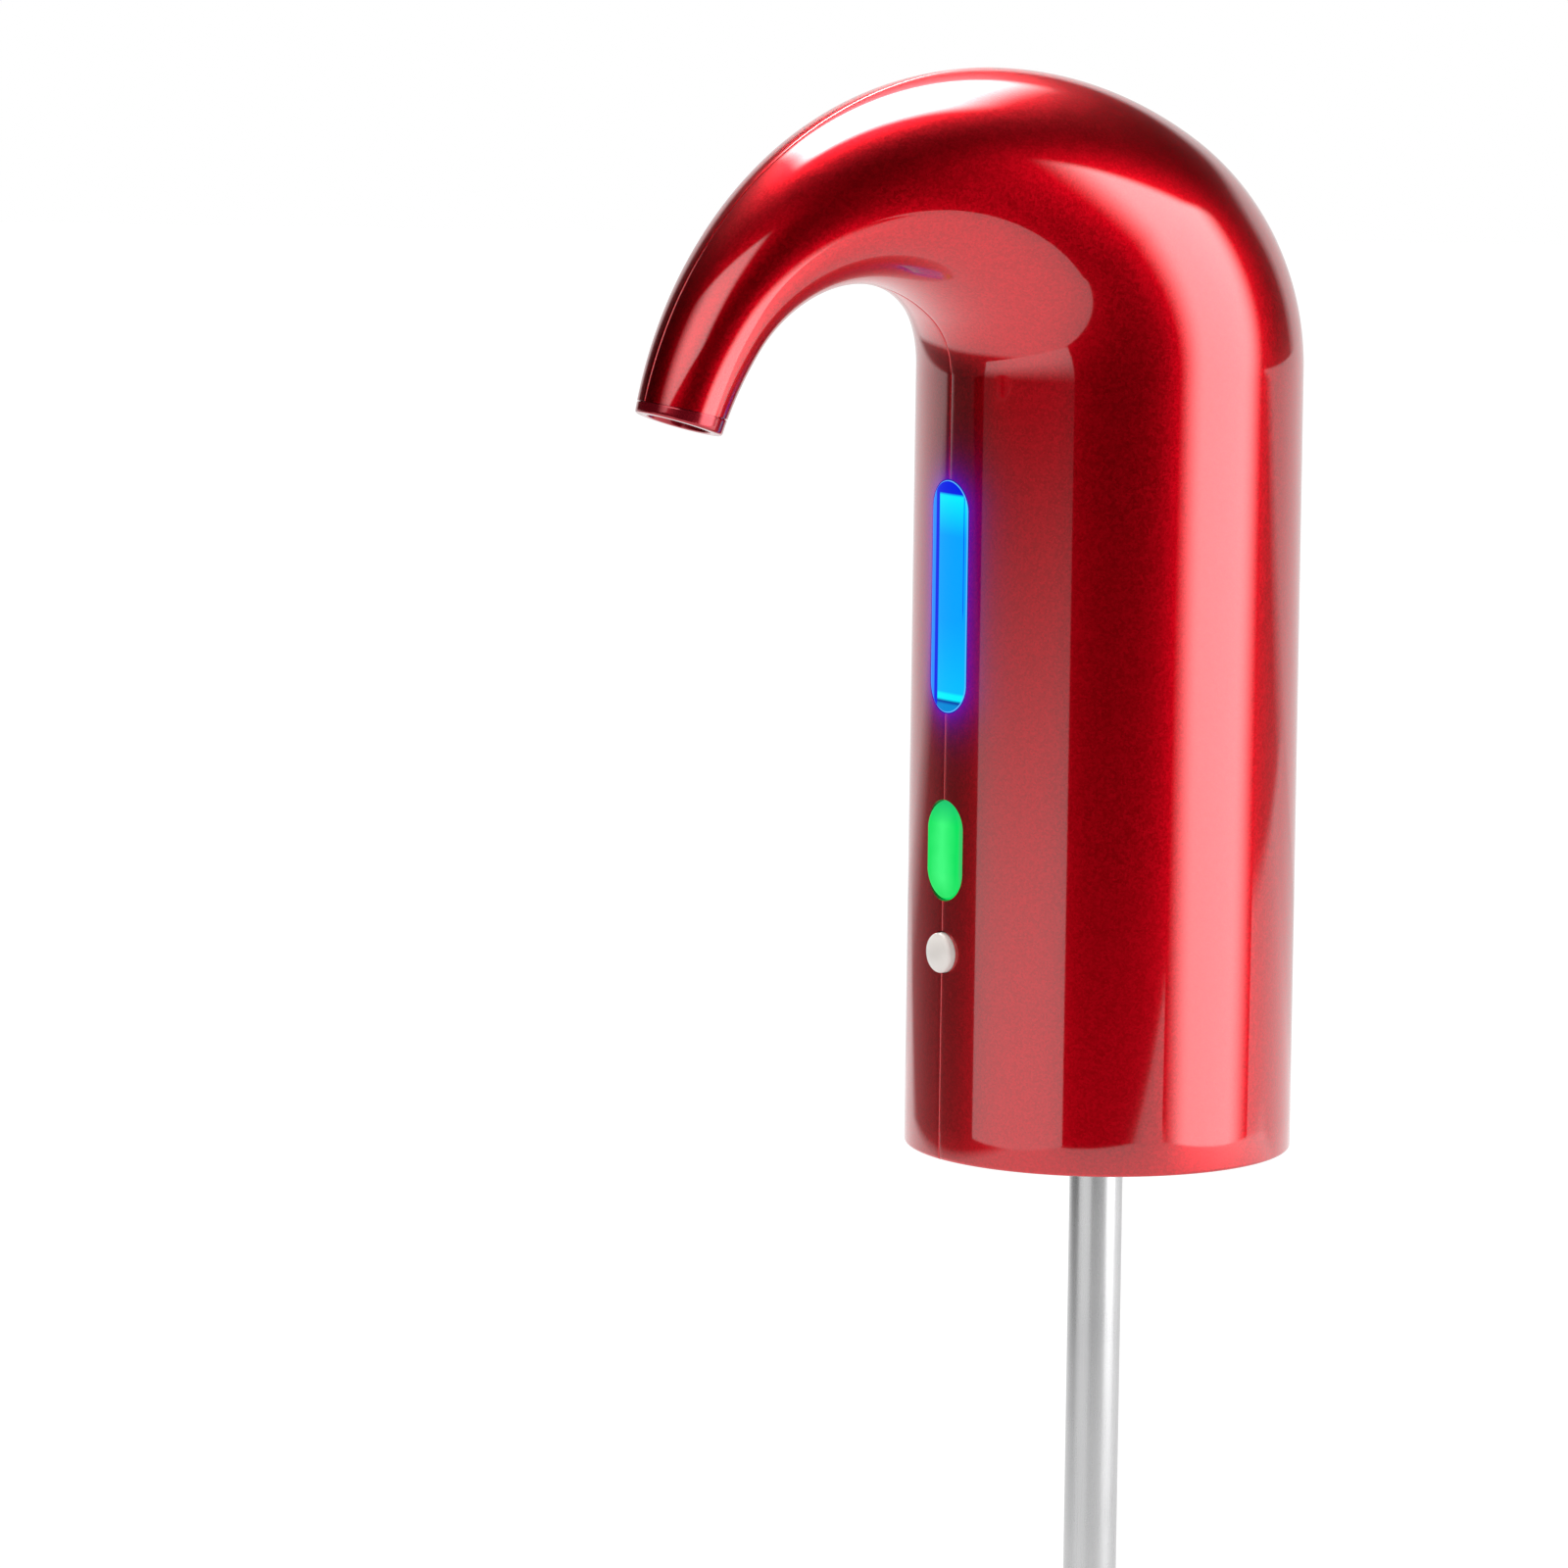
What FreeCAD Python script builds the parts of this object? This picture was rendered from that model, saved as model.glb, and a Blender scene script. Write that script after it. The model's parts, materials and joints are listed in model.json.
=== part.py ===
import FreeCAD, Part
import math
import os

os.makedirs("parts", exist_ok=True)
V = FreeCAD.Vector

# Electric pourer, in millimetres and degrees. The origin is on the stopper's axis, in the plane
# of its flange's underside. +Z is up and the spout points towards -X.
# Heights are measured up from the lower rim of the housing.

# Housing
socket_depth = 20.5        # from the lower rim up to the underside of the stopper's flange
rim_radius = 29.0
body_draft = 0.2           # how much narrower the radius is at the shoulder
body_height = 117.0        # straight part, from the rim to the start of the crook
wall = 2.0

# Crook, seen from the side: its back rises in one bend and goes over the top in a wider one. Its
# front turns under it in two bends and ends in a slight bow. The turns are given, and the bends'
# radii follow from the places of the shoulder and of the spout's mouth.
spout_reach = 76.6         # from the axis to the middle of the mouth
mouth_drop = 4.85          # from the shoulder down to the middle of the mouth
mouth_radius = 7.0
mouth_lean = 21.3
back_turn = 58.7
top_turn = 107.8
front_turn = 47.4
under_turn = 103.6
bow_turn = 12.0
bow_bend = 54.0
section_skew = -0.47       # how far the front lags the back between shoulder and tip
crook_sections = 16
skin_columns = 8
lip_height = 0.8           # tongue along the seam
lip_thickness = 0.8
lip_clearance = 0.1
rim_chamfer = 0.5

# Spout end
collar_length = 2.5
collar_step = 0.25         # how far the collar stays inside the housing's end
collar_edge = 0.4
collar_groove = 0.35
collar_spigot_length = 3.0
collar_spigot_radius = 4.7
nozzle_radius = 3.9
nozzle_recess = 1.4
nozzle_length = 6.2
nozzle_spigot = 4.0
nozzle_bore_radius = 1.8
air_hole_radius = 0.45
air_hole_count = 6

# Light window, buttons and their cut-outs, all centred on the front of the seam
panel_gap = 0.15
window_height = 85.0
window_width = 11.0
window_length = 36.0
window_proud = 0.1
flange_overlap = 1.3
flange_thickness = 1.0
power_height = 46.0
power_width = 10.0
power_length = 15.5
power_proud = 0.7
power_dome_radius = 40.0
small_height = 30.5
small_radius = 3.1
small_proud = 1.5
small_dome_radius = 6.0
button_travel = 0.5
stem_radius = 1.6

# Circuit board and what stands on it
board_room = 6.4           # from the wall's inner face to the board's front face
board_thickness = 1.6
board_width = 24.0
board_below = 3.7          # how far the board reaches below the small button's middle
board_above = 6.0          # how far it reaches above the light window
switch_size = 6.0
switch_depth = 3.3
plunger_radius = 1.7
plunger_proud = 1.0
plunger_clearance = 0.06
led_size = 3.0
led_depth = 1.1
led_count = 4
led_pitch = 8.0
guide_width = 8.4
guide_length = 33.0
screw_head_height = 1.2

# Inner frame
frame_gap = 0.6            # between its shelves and the wall
frame_standoff = 1.8       # between its plate and the board
frame_thickness = 2.0
frame_rail_end = 6.0
frame_clearance = 2.0      # above the flow connector
frame_lead = 6.0           # how far the wall's ribs stop short of the frame's ends
guide_ribs = (-9.0, 2.0)   # x of the ribs on each wall that the frame slides between
guide_rib = 1.5
guide_gap = 0.2
ring_rise = 19.4           # from the middle shelf to the ring that holds the battery
ring_margin = 4.0          # what the plate and walls reach above and below the ring
standoff_margin = 6.0      # what the plate reaches above its upper standoffs
opening_front = 13.0       # openings in the frame's side walls, from the axis
opening_back = 2.0
opening_margin = 6.0
board_screw_y = 10.0
board_screw_drop = 3.0     # from the board's top to its upper screws
board_screw_rise = 14.0    # from the power button's middle to the lower screws
board_screw_length = 4.5
standoff_radius = 2.2

# Base with its deep round socket
base_recess = 0.8
base_thickness = 2.0
base_clearance = 0.15
socket_radius = 16.5
socket_wall = 2.0
ceiling_thickness = 2.5
ceiling_hole_radius = 6.3
base_screw_radius = 1.2
base_screw_head = 2.3
base_screw_length = 10.0
boss_room = 0.9            # between a boss and the socket
boss_web = 1.0             # between a boss and the wall
boss_top = 15.0
screw_clearance = 0.05
post_radius = 2.5
frame_posts = ((-9.0, 13.5), (6.5, 14.5))
frame_screw_radius = 1.0
frame_screw_length = 6.0

# Stopper
stopper_flange_radius = 14.0
stopper_flange = 3.0
stopper_radius = 9.5
stopper_land = 6.0
stopper_length = 24.0
rib_count = 3
rib_height = 1.0
rib_width = 1.6

# Flow connector
spigot_radius = 6.0
spigot_bore = 4.6
spigot_length = 12.0
connector_flange_radius = 13.0
connector_flange = 2.5
dome_wall = 0.6            # round the hose barb's foot
dome_height = 9.5
dome_roof = 2.7            # thickness above the upper tube's end
tube_grip = 1.8
barb_length = 9.0
barb_radius = 2.4
barb_bore = 1.75
air_port_rise = 4.0        # above the connector's flange
air_port_room = 1.1        # between the port's end and the air hose's bend
air_barb_radius = 1.5
air_bore = 0.8
close_fit = 0.05

# Tubes
upper_tube_radius = 4.0
tube_wall = 0.3
upper_tube_below = 130.0   # how far it reaches below the stopper's flange
lip_in = 0.33
tube_lip = 2.0
lower_tube_radius = 3.3
lower_tube_length = 131.0
bead_radius = 3.62
bead_length = 2.0
lower_tube_proud = 8.0     # what shows below the upper tube when pushed in
foot_radius = 3.9
foot_length = 8.0
foot_slots = 3

# Pouring hose
hose_pump_gap = 1.3
hose_radius = 3.5
hose_bore = 2.45
hose_bend_radius = 38.0
hose_bend_turn = 70.0
hose_room = 0.5

# Pump
pump_frame_gap = 0.9       # between the pump and the shelves' edge
pump_radius = 12.5
pump_head_height = 6.0
diaphragm_thickness = 1.2
cup_radius = 3.0
cup_height = 2.4
cup_circle = 6.4
pump_body_height = 13.8
pump_wall = 1.5
motor_radius = 12.0
motor_length = 24.0
motor_rear_boss = 1.2
shaft_radius = 1.0
shaft_clearance = 0.06
shaft_end = 0.4            # how far the shaft stands out at the back
eccentric_radius = 4.0
eccentric_height = 3.5
eccentric_floor = 0.8
pin_offset = 1.2
pin_radius = 0.8
pin_length = 2.4
wobble_radius = 9.0
wobble_thickness = 1.5
wobble_hub_radius = 3.8
wobble_hub_bore = 2.8
air_outlet_x = 2.35        # from the pump's axis
air_outlet_y = 9.72
air_hose_radius = 2.0
air_hose_bend = 4.4
air_barb_length = 3.5

pump_screw_places = ((-5.0, 9.0), (-5.0, -9.0))   # from the pump's axis

# Battery
battery_radius = 9.2
battery_length = 34.0
battery_cap_radius = 3.0
battery_cap = 1.0

# Charging port at the back
port_height = 12.0
port_width = 9.0
port_thickness = 3.3
port_room = 0.9            # between the port and the socket
port_gap = 0.3
port_inset = 0.4
charge_board_thickness = 1.0
charge_board_width = 12.0
cover_width = 14.0
cover_height = 8.0
cover_thickness = 1.0
cover_plug = 0.9
cover_gap = 0.2

rim_z = -socket_depth
shoulder_z = rim_z + body_height
ceiling_z = stopper_flange + ceiling_thickness
shoulder_radius = rim_radius - body_draft
inner_radius = shoulder_radius - wall
socket_outer = socket_radius + socket_wall

# The frame fills the housing, the pump stands against its back and the hose runs before the pump
board_front = inner_radius - board_room
board_bottom = small_height - board_below
board_top = window_height + window_length / 2 + board_above
board_screw_heights = (power_height + board_screw_rise, board_top - board_screw_drop)
frame_radius = inner_radius - frame_gap
frame_plate = board_front - board_thickness - frame_standoff
frame_half = math.sqrt(frame_radius ** 2 - frame_plate ** 2)
frame_bottom = ceiling_z + connector_flange + dome_height + frame_clearance - rim_z
pump_stack = pump_head_height + diaphragm_thickness + pump_body_height + motor_length + motor_rear_boss
mid_shelf = frame_bottom + frame_thickness + pump_stack + shaft_end
ring_shelf = mid_shelf + ring_rise
frame_top = max(ring_shelf + ring_margin, board_screw_heights[1] + standoff_margin)
pump_x = frame_radius - pump_frame_gap - pump_radius
hose_x = pump_x - pump_radius - hose_pump_gap - hose_radius
dome_radius = max(dome_wall + barb_radius - hose_x, spigot_bore + 1.4)

# The bosses fill the room between the wall and the socket, and so does the port
boss_radius = (inner_radius - boss_web - boss_room - socket_outer) / 2
base_screw_circle = inner_radius - boss_web - boss_radius
port_depth = inner_radius - port_inset - port_room - socket_outer

# The air hose drops from the pump's outlet and turns in to the connector
air_outlet = V(pump_x + air_outlet_x, air_outlet_y, 0)
air_outlet_reach = air_outlet.Length
air_direction = air_outlet * (1 / air_outlet_reach)
air_port_reach = air_outlet_reach - air_hose_bend - air_port_room
air_port_z = ceiling_z + connector_flange + air_port_rise


def at(height):
    """z of a height above the lower rim"""
    return rim_z + height


def body_radius(height):
    return rim_radius + (shoulder_radius - rim_radius) * height / body_height


# Helpers

def box(x0, x1, y0, y1, z0, z1):
    return Part.makeBox(x1 - x0, y1 - y0, z1 - z0, V(x0, y0, z0))


def rod(radius, z0, z1, x=0.0, y=0.0):
    return Part.makeCylinder(radius, z1 - z0, V(x, y, z0))


def rod_x(radius, x0, x1, y, z):
    return Part.makeCylinder(radius, x1 - x0, V(x0, y, z), V(1, 0, 0))


def ring(outer, inner, z0, z1, x=0.0, y=0.0):
    return rod(outer, z0, z1, x, y).cut(rod(inner, z0 - 1, z1 + 1, x, y))


def turned(points, x=0.0, y=0.0):
    """solid turned about a vertical axis from (radius, z) points"""
    corners = [V(x + r, y, z) for r, z in points]
    face = Part.Face(Part.makePolygon(corners + corners[:1]))
    return face.revolve(V(x, y, 0), V(0, 0, 1), 360)


def stadium(width, length, z, x0, x1):
    """upright prism along X with half-round ends"""
    half = width / 2
    straight = (length - width) / 2
    low = V(x0, -half, z - straight)
    high = V(x0, -half, z + straight)
    low_far = V(x0, half, z - straight)
    high_far = V(x0, half, z + straight)
    top = Part.Arc(high, V(x0, 0, z + straight + half), high_far).toShape()
    bottom = Part.Arc(low_far, V(x0, 0, z - straight - half), low).toShape()
    sides = [top, bottom, Part.LineSegment(low, high).toShape(), Part.LineSegment(high_far, low_far).toShape()]
    face = Part.Face(Part.Wire(Part.__sortEdges__(sides)))
    return face.extrude(V(x1 - x0, 0, 0))


def slot_y(width, height, z, x0, x1):
    """prism along X, longer across Y, with half-round ends"""
    bar = stadium(height, width, 0, x0, x1)
    bar.rotate(V(0, 0, 0), V(1, 0, 0), 90)
    bar.translate(V(0, 0, z))
    return bar


def fused(shapes):
    whole = shapes[0]
    for shape in shapes[1:]:
        whole = whole.fuse(shape)
    return whole.removeSplitter()


def export(shape, name):
    solids = shape.Solids
    result = solids[0] if len(solids) == 1 else Part.makeCompound(solids)
    assert result.isValid(), name
    result.exportStep("parts/" + name + ".step")
    return shape


def sweep(path, radius, bore=0.0):
    """round bar or tube along a wire"""
    start = path.OrderedEdges[0]
    point = start.valueAt(start.FirstParameter)
    along = start.tangentAt(start.FirstParameter)
    circle = Part.Wire(Part.makeCircle(radius, point, along))
    bar = path.makePipeShell([circle], True, False)
    if bore:
        hole = Part.Wire(Part.makeCircle(bore, point, along))
        bar = bar.cut(path.makePipeShell([hole], True, False))
    return bar


# Crook: two chains of arcs in the plane of symmetry carry a row of circles

def bend_moves(start, turn):
    """moves forward and up of a bend of radius 1 that comes after start degrees of turning"""
    first = math.radians(start)
    last = math.radians(start + turn)
    return math.cos(first) - math.cos(last), math.sin(last) - math.sin(first)


def bend_pair(forward, up, first_turn, second_turn):
    """two bends, as radius and turn, that together go forward and up by the given moves"""
    first_forward, first_up = bend_moves(0, first_turn)
    second_forward, second_up = bend_moves(first_turn, second_turn)
    scale = first_forward * second_up - first_up * second_forward
    first = (forward * second_up - up * second_forward) / scale
    second = (up * first_forward - forward * first_up) / scale
    return (first, first_turn), (second, second_turn)


lean = math.radians(mouth_lean)
half_span = mouth_radius * math.cos(lean)
half_fall = mouth_radius * math.sin(lean)
bow_forward, bow_up = bend_moves(front_turn + under_turn, bow_turn)
back_forward = shoulder_radius + spout_reach + half_span
front_forward = spout_reach - shoulder_radius - half_span - bow_bend * bow_forward
front_up = -mouth_drop - half_fall - bow_bend * bow_up
back_arcs = bend_pair(back_forward, half_fall - mouth_drop, back_turn, top_turn)
front_arcs = bend_pair(front_forward, front_up, front_turn, under_turn) + ((bow_bend, bow_turn),)


def along_arcs(x, arcs, fraction):
    """point on a chain of arcs that starts at the shoulder and heads up"""
    z = shoulder_z
    heading = math.pi / 2
    walk = fraction * sum(radius * math.radians(turn) for radius, turn in arcs)
    for radius, turn in arcs:
        step = min(walk, radius * math.radians(turn))
        centre_x = x - radius * math.sin(heading)
        centre_z = z + radius * math.cos(heading)
        heading += step / radius
        x = centre_x + radius * math.sin(heading)
        z = centre_z - radius * math.cos(heading)
        walk -= step
    return V(x, 0, z)


def crook_section(fraction):
    """centre, forward direction and radius of one circle of the crook"""
    back = along_arcs(shoulder_radius, back_arcs, fraction)
    lag = fraction + section_skew * fraction * (1 - fraction)
    front = along_arcs(-shoulder_radius, front_arcs, lag)
    across = front - back
    radius = across.Length / 2
    across.normalize()
    return (back + front) * 0.5, V(across.z, 0, -across.x), radius


def half_skin(inset):
    """surface of the crook's left half, drawn in by inset, through rows of points on the circles"""
    rows = []
    for k in range(crook_sections + 1):
        centre, forward, radius = crook_section(k / crook_sections)
        back = V(forward.z, 0, -forward.x) * (radius - inset)
        side = V(0, inset - radius, 0)
        angles = [math.pi * column / skin_columns for column in range(skin_columns + 1)]
        rows.append([centre + back * math.cos(angle) + side * math.sin(angle) for angle in angles])
    surface = Part.BSplineSurface()
    surface.interpolate(rows)
    return surface


def skin_borders(surface):
    """back, front, shoulder and tip edges of a half skin"""
    u0, u1, v0, v1 = surface.bounds()
    return [curve.toShape() for curve in (surface.vIso(v0), surface.vIso(v1), surface.uIso(u0), surface.uIso(u1))]


def flat_between(a, b):
    """flat face between two edges that run side by side"""
    ends = [(edge.Vertexes[0].Point, edge.Vertexes[-1].Point) for edge in (a, b)]
    bridges = [Part.LineSegment(ends[0][k], ends[1][k]).toShape() for k in (0, 1)]
    return Part.Face(Part.Wire(Part.__sortEdges__([a, b] + bridges)))


def half_shell(inset, depth):
    """wall of the left half, from inset to inset + depth below the outer surface"""
    outer = half_skin(inset)
    inner = half_skin(inset + depth)
    borders = zip(skin_borders(outer), skin_borders(inner))
    faces = [outer.toShape(), inner.toShape()] + [flat_between(a, b) for a, b in borders]
    skin = Part.Shell(faces)
    skin.sewShape()
    crook = Part.Solid(skin)
    if crook.Volume < 0:
        crook.reverse()
    low = rim_radius - inset
    high = shoulder_radius - inset
    body = Part.makeCone(low, high, body_height, V(0, 0, rim_z), V(0, 0, 1), 180)
    slope = (high - low) / body_height
    hollow = Part.makeCone(low - depth - slope, high - depth + slope, body_height + 2, V(0, 0, rim_z - 1))
    body = body.cut(hollow)
    body.rotate(V(0, 0, 0), V(0, 0, 1), 180)
    return body.fuse([crook], 0.01)


def seam_bar(inset, depth, height):
    """bar that follows the seam inside the wall and stands out of the left half by height"""
    outer = half_skin(inset)
    inner = half_skin(inset + depth)
    faces = [flat_between(a, b) for a, b in list(zip(skin_borders(outer), skin_borders(inner)))[:2]]
    for side in (-1, 1):
        corners = []
        for radius, z in ((rim_radius, rim_z), (shoulder_radius, shoulder_z)):
            corners.append(V(side * (radius - inset), 0, z))
        for radius, z in ((shoulder_radius, shoulder_z), (rim_radius, rim_z)):
            corners.append(V(side * (radius - inset - depth), 0, z))
        faces.append(Part.Face(Part.makePolygon(corners + corners[:1])))
    bars = [face.extrude(V(0, height, 0)) for face in faces]
    return bars[0].fuse(bars[1:])


tip, tip_forward, tip_radius = crook_section(1.0)
collar_radius = mouth_radius - collar_step


def tip_placed(shape):
    """moves a shape built on +Z, with the spout's end at 0, into the spout"""
    turn = FreeCAD.Rotation(V(0, 0, 1), tip_forward * -1)
    shape.Placement = FreeCAD.Placement(tip, turn)
    return shape


def tip_point(distance):
    return tip - tip_forward * distance


# Pouring hose: up from the connector, over the crook in two bends and into the nozzle

connector_top = ceiling_z + connector_flange + dome_height
tube_top = connector_top - dome_roof
hose_end = tip_point(nozzle_recess + nozzle_length)
bend_end = tip_point(nozzle_recess + nozzle_length + nozzle_spigot)
final_turn = math.atan2(tip_forward.z, tip_forward.x) % (2 * math.pi) - math.pi / 2
first_turn = math.radians(hose_bend_turn)
run_left = hose_x - bend_end.x - hose_bend_radius * (1 - math.cos(first_turn))
second_radius = run_left / (math.cos(first_turn) - math.cos(final_turn))
rise = hose_bend_radius * math.sin(first_turn) + second_radius * (math.sin(final_turn) - math.sin(first_turn))
bend_z = bend_end.z - rise


def hose_path():
    def first(turn):
        cx = hose_x - hose_bend_radius
        return V(cx + hose_bend_radius * math.cos(turn), 0, bend_z + hose_bend_radius * math.sin(turn))

    joint = first(first_turn)

    def second(turn):
        cx = joint.x - second_radius * math.cos(first_turn)
        cz = joint.z - second_radius * math.sin(first_turn)
        return V(cx + second_radius * math.cos(turn), 0, cz + second_radius * math.sin(turn))

    foot = V(hose_x, 0, connector_top)
    middle = (first_turn + final_turn) / 2
    edges = [
        Part.LineSegment(foot, first(0)).toShape(),
        Part.Arc(first(0), first(first_turn / 2), joint).toShape(),
        Part.Arc(joint, second(middle), second(final_turn)).toShape(),
        Part.LineSegment(second(final_turn), hose_end).toShape(),
    ]
    return Part.Wire(edges)


# Housing halves

def front_cutters():
    gap = 2 * panel_gap
    far = -rim_radius - 5
    near = -inner_radius + 4
    return [
        stadium(window_width + gap, window_length + gap, at(window_height), far, near),
        stadium(power_width + gap, power_length + gap, at(power_height), far, near),
        rod_x(small_radius + panel_gap, far, near, 0, at(small_height)),
    ]


def port_cutters():
    z = at(port_height)
    slot = slot_y(port_width + 2 * port_gap, port_thickness + 2 * port_gap, z, inner_radius - 4, rim_radius + 5)
    seat = slot_y(cover_width, cover_height, z, inner_radius - 4, rim_radius + 5)
    seat = seat.cut(rod(body_radius(port_height) - cover_thickness, rim_z, at(port_height + cover_height)))
    return [slot, seat]


def base_screw_places():
    for k in range(4):
        angle = math.radians(45 + 90 * k)
        yield base_screw_circle * math.cos(angle), base_screw_circle * math.sin(angle)


def inner_details(room):
    """bosses, frame guides and hose ribs that stand on the inside of the wall"""
    details = []
    boss_bottom = at(base_recess + base_thickness)
    for x, y in base_screw_places():
        boss = rod(boss_radius, boss_bottom, at(boss_top), x, y)
        web = box(0, inner_radius + wall / 2, -1, 1, boss_bottom, at(boss_top))
        web = web.cut(rod(base_screw_circle, rim_z, at(boss_top + 1)))
        web.rotate(V(0, 0, 0), V(0, 0, 1), math.degrees(math.atan2(y, x)))
        details.append(boss.fuse(web))
    rail_face = frame_half + frame_thickness / 2 + guide_gap
    for side in (-1, 1):
        for x in guide_ribs:
            low, high = sorted((side * rail_face, side * (inner_radius + wall / 2)))
            rib = box(x, x + guide_rib, low, high, at(frame_bottom + frame_lead), at(frame_top - frame_lead))
            details.append(rib.common(rod(inner_radius + wall / 2, rim_z, at(frame_top))))
    for fraction in (0.36, 0.55, 0.72):
        centre, forward, radius = crook_section(fraction)
        disc = Part.makeCylinder(radius - wall / 2, 1.2, centre - forward * 0.6, forward)
        details.append(disc.cut(room))
    return details


def housing_halves():
    room = sweep(hose_path(), hose_radius + hose_room)
    left_side = box(-200, 100, -60, 0, rim_z - 5, 300)
    plain = half_shell(0, wall)
    for detail in inner_details(room):
        piece = detail.common(left_side)
        if piece.Solids:
            plain = plain.fuse(piece)
    other = plain.mirror(V(0, 0, 0), V(0, 1, 0))
    boss_hole = base_screw_radius + screw_clearance
    cutters = front_cutters() + port_cutters()
    cutters += [rod(boss_hole, rim_z, at(boss_top - 2), x, y) for x, y in base_screw_places()]
    cutters.append(tip_placed(rod(tip_radius * 2, -6, collar_length)))
    inside = rim_radius - rim_chamfer - 1
    cutters.append(turned([(inside, rim_z - 1), (rim_radius + 1, rim_z - 1), (rim_radius + 1, at(rim_chamfer + 1))]))
    middle = (wall - lip_thickness) / 2
    tongue = seam_bar(middle, lip_thickness, lip_height)
    groove = seam_bar(middle - lip_clearance, lip_thickness + 2 * lip_clearance, lip_height + lip_clearance)
    left = plain.fuse(tongue).cut(cutters)
    right = other.cut(cutters + [groove])
    return left, right


# Spout end

def spout_collar():
    bore = nozzle_radius + close_fit
    lip = collar_radius - collar_edge
    waist = collar_radius - collar_groove
    shelf = collar_length - collar_groove
    top = collar_length + collar_spigot_length
    points = [
        (bore, 0), (lip, 0), (collar_radius, collar_edge), (collar_radius, shelf),
        (waist, shelf), (waist, collar_length), (collar_spigot_radius, collar_length),
        (collar_spigot_radius, top), (bore, top),
    ]
    return tip_placed(turned(points))


def spout_nozzle():
    low = nozzle_recess
    high = nozzle_recess + nozzle_length
    body = rod(nozzle_radius, low, high)
    spigot = rod(barb_radius, high, high + nozzle_spigot)
    nozzle = body.fuse(spigot)
    flare = Part.makeCone(nozzle_bore_radius + 1.0, nozzle_bore_radius, 1.5, V(0, 0, low))
    holes = [rod(nozzle_bore_radius, low - 1, high + nozzle_spigot + 1), flare]
    circle = (nozzle_bore_radius + 1.0 + nozzle_radius) / 2
    for k in range(air_hole_count):
        angle = 2 * math.pi * k / air_hole_count
        holes.append(rod(air_hole_radius, low - 1, low + 2.5, circle * math.cos(angle), circle * math.sin(angle)))
    return tip_placed(nozzle.cut(holes))


# Base, stopper and connector

def base_socket():
    low = at(base_recess)
    top = at(base_recess + base_thickness)
    edge = inner_radius - base_clearance
    outer = socket_outer
    points = [
        (socket_radius + 0.8, low), (edge, low), (edge, top), (outer, top), (outer, ceiling_z),
        (ceiling_hole_radius, ceiling_z), (ceiling_hole_radius, stopper_flange),
        (socket_radius, stopper_flange), (socket_radius, low + 0.8),
    ]
    base = turned(points)
    details = []
    for x, y in frame_posts:
        for side in (-1, 1):
            details.append(rod(post_radius, ceiling_z - 0.5, at(frame_bottom), x, side * y))
    table_z = at(port_height - port_thickness / 2 - charge_board_thickness)
    table = box(outer - 1, inner_radius - 1.2, -5, 5, top - 0.5, table_z)
    base = base.fuse(details + [table])
    holes = []
    for x, y in frame_posts:
        for side in (-1, 1):
            bottom = at(frame_bottom) - frame_screw_length - 2
            holes.append(rod(frame_screw_radius + screw_clearance, bottom, at(frame_bottom), x, side * y))
    for x, y in base_screw_places():
        holes.append(rod(base_screw_radius + 0.2, rim_z, top + 1, x, y))
        holes.append(rod(base_screw_head + 0.3, rim_z, low + 1.0, x, y))
    return base.cut(holes).removeSplitter()


def screw(radius, head_radius, head_height, length):
    """round-head screw on +Z with its head's seat at 0 and the shank below"""
    head = rod(head_radius, 0, head_height)
    head = head.makeFillet(head_height * 0.45, [head.Edges[0]])
    recess = box(-head_radius * 0.55, head_radius * 0.55, -0.25, 0.25, head_height * 0.5, head_height + 1)
    cross = recess.copy()
    cross.rotate(V(0, 0, 0), V(0, 0, 1), 90)
    shank = rod(radius, -length, 0)
    point = Part.makeCone(radius * 0.3, radius, 1.0, V(0, 0, -length - 1.0))
    return fused([head.cut([recess, cross]), shank, point])


def base_screws():
    made = []
    for x, y in base_screw_places():
        one = screw(base_screw_radius, base_screw_head, 1.0, base_screw_length)
        one.rotate(V(0, 0, 0), V(1, 0, 0), 180)
        one.translate(V(x, y, at(base_recess + 1.0)))
        made.append(one)
    return Part.makeCompound(made)


def frame_screws():
    made = []
    for x, y in frame_posts:
        for side in (-1, 1):
            one = screw(frame_screw_radius, 1.9, 1.1, frame_screw_length)
            one.translate(V(x, side * y, at(frame_bottom) + frame_thickness))
            made.append(one)
    return Part.makeCompound(made)


def stopper():
    bore = spigot_radius + close_fit
    core = stopper_radius - rib_height
    end = -stopper_length
    points = [(bore, stopper_flange), (stopper_flange_radius, stopper_flange), (stopper_flange_radius, 0)]
    points += [(stopper_radius, 0), (stopper_radius, -stopper_land), (core, -stopper_land - 0.8)]
    pitch = (stopper_length - stopper_land - 3.0) / rib_count
    for k in range(rib_count):
        z = -stopper_land - 2.2 - k * pitch
        points += [(core, z), (stopper_radius, z - 0.4), (stopper_radius, z - 0.4 - rib_width * 0.4), (core, z - rib_width - 0.4)]
    points += [(core, end + 1.5), (core - 1.5, end), (upper_tube_radius + 0.7, end)]
    points += [(upper_tube_radius + 0.7, -spigot_length - 0.1), (bore, -spigot_length - 0.1)]
    return turned(points)


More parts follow.
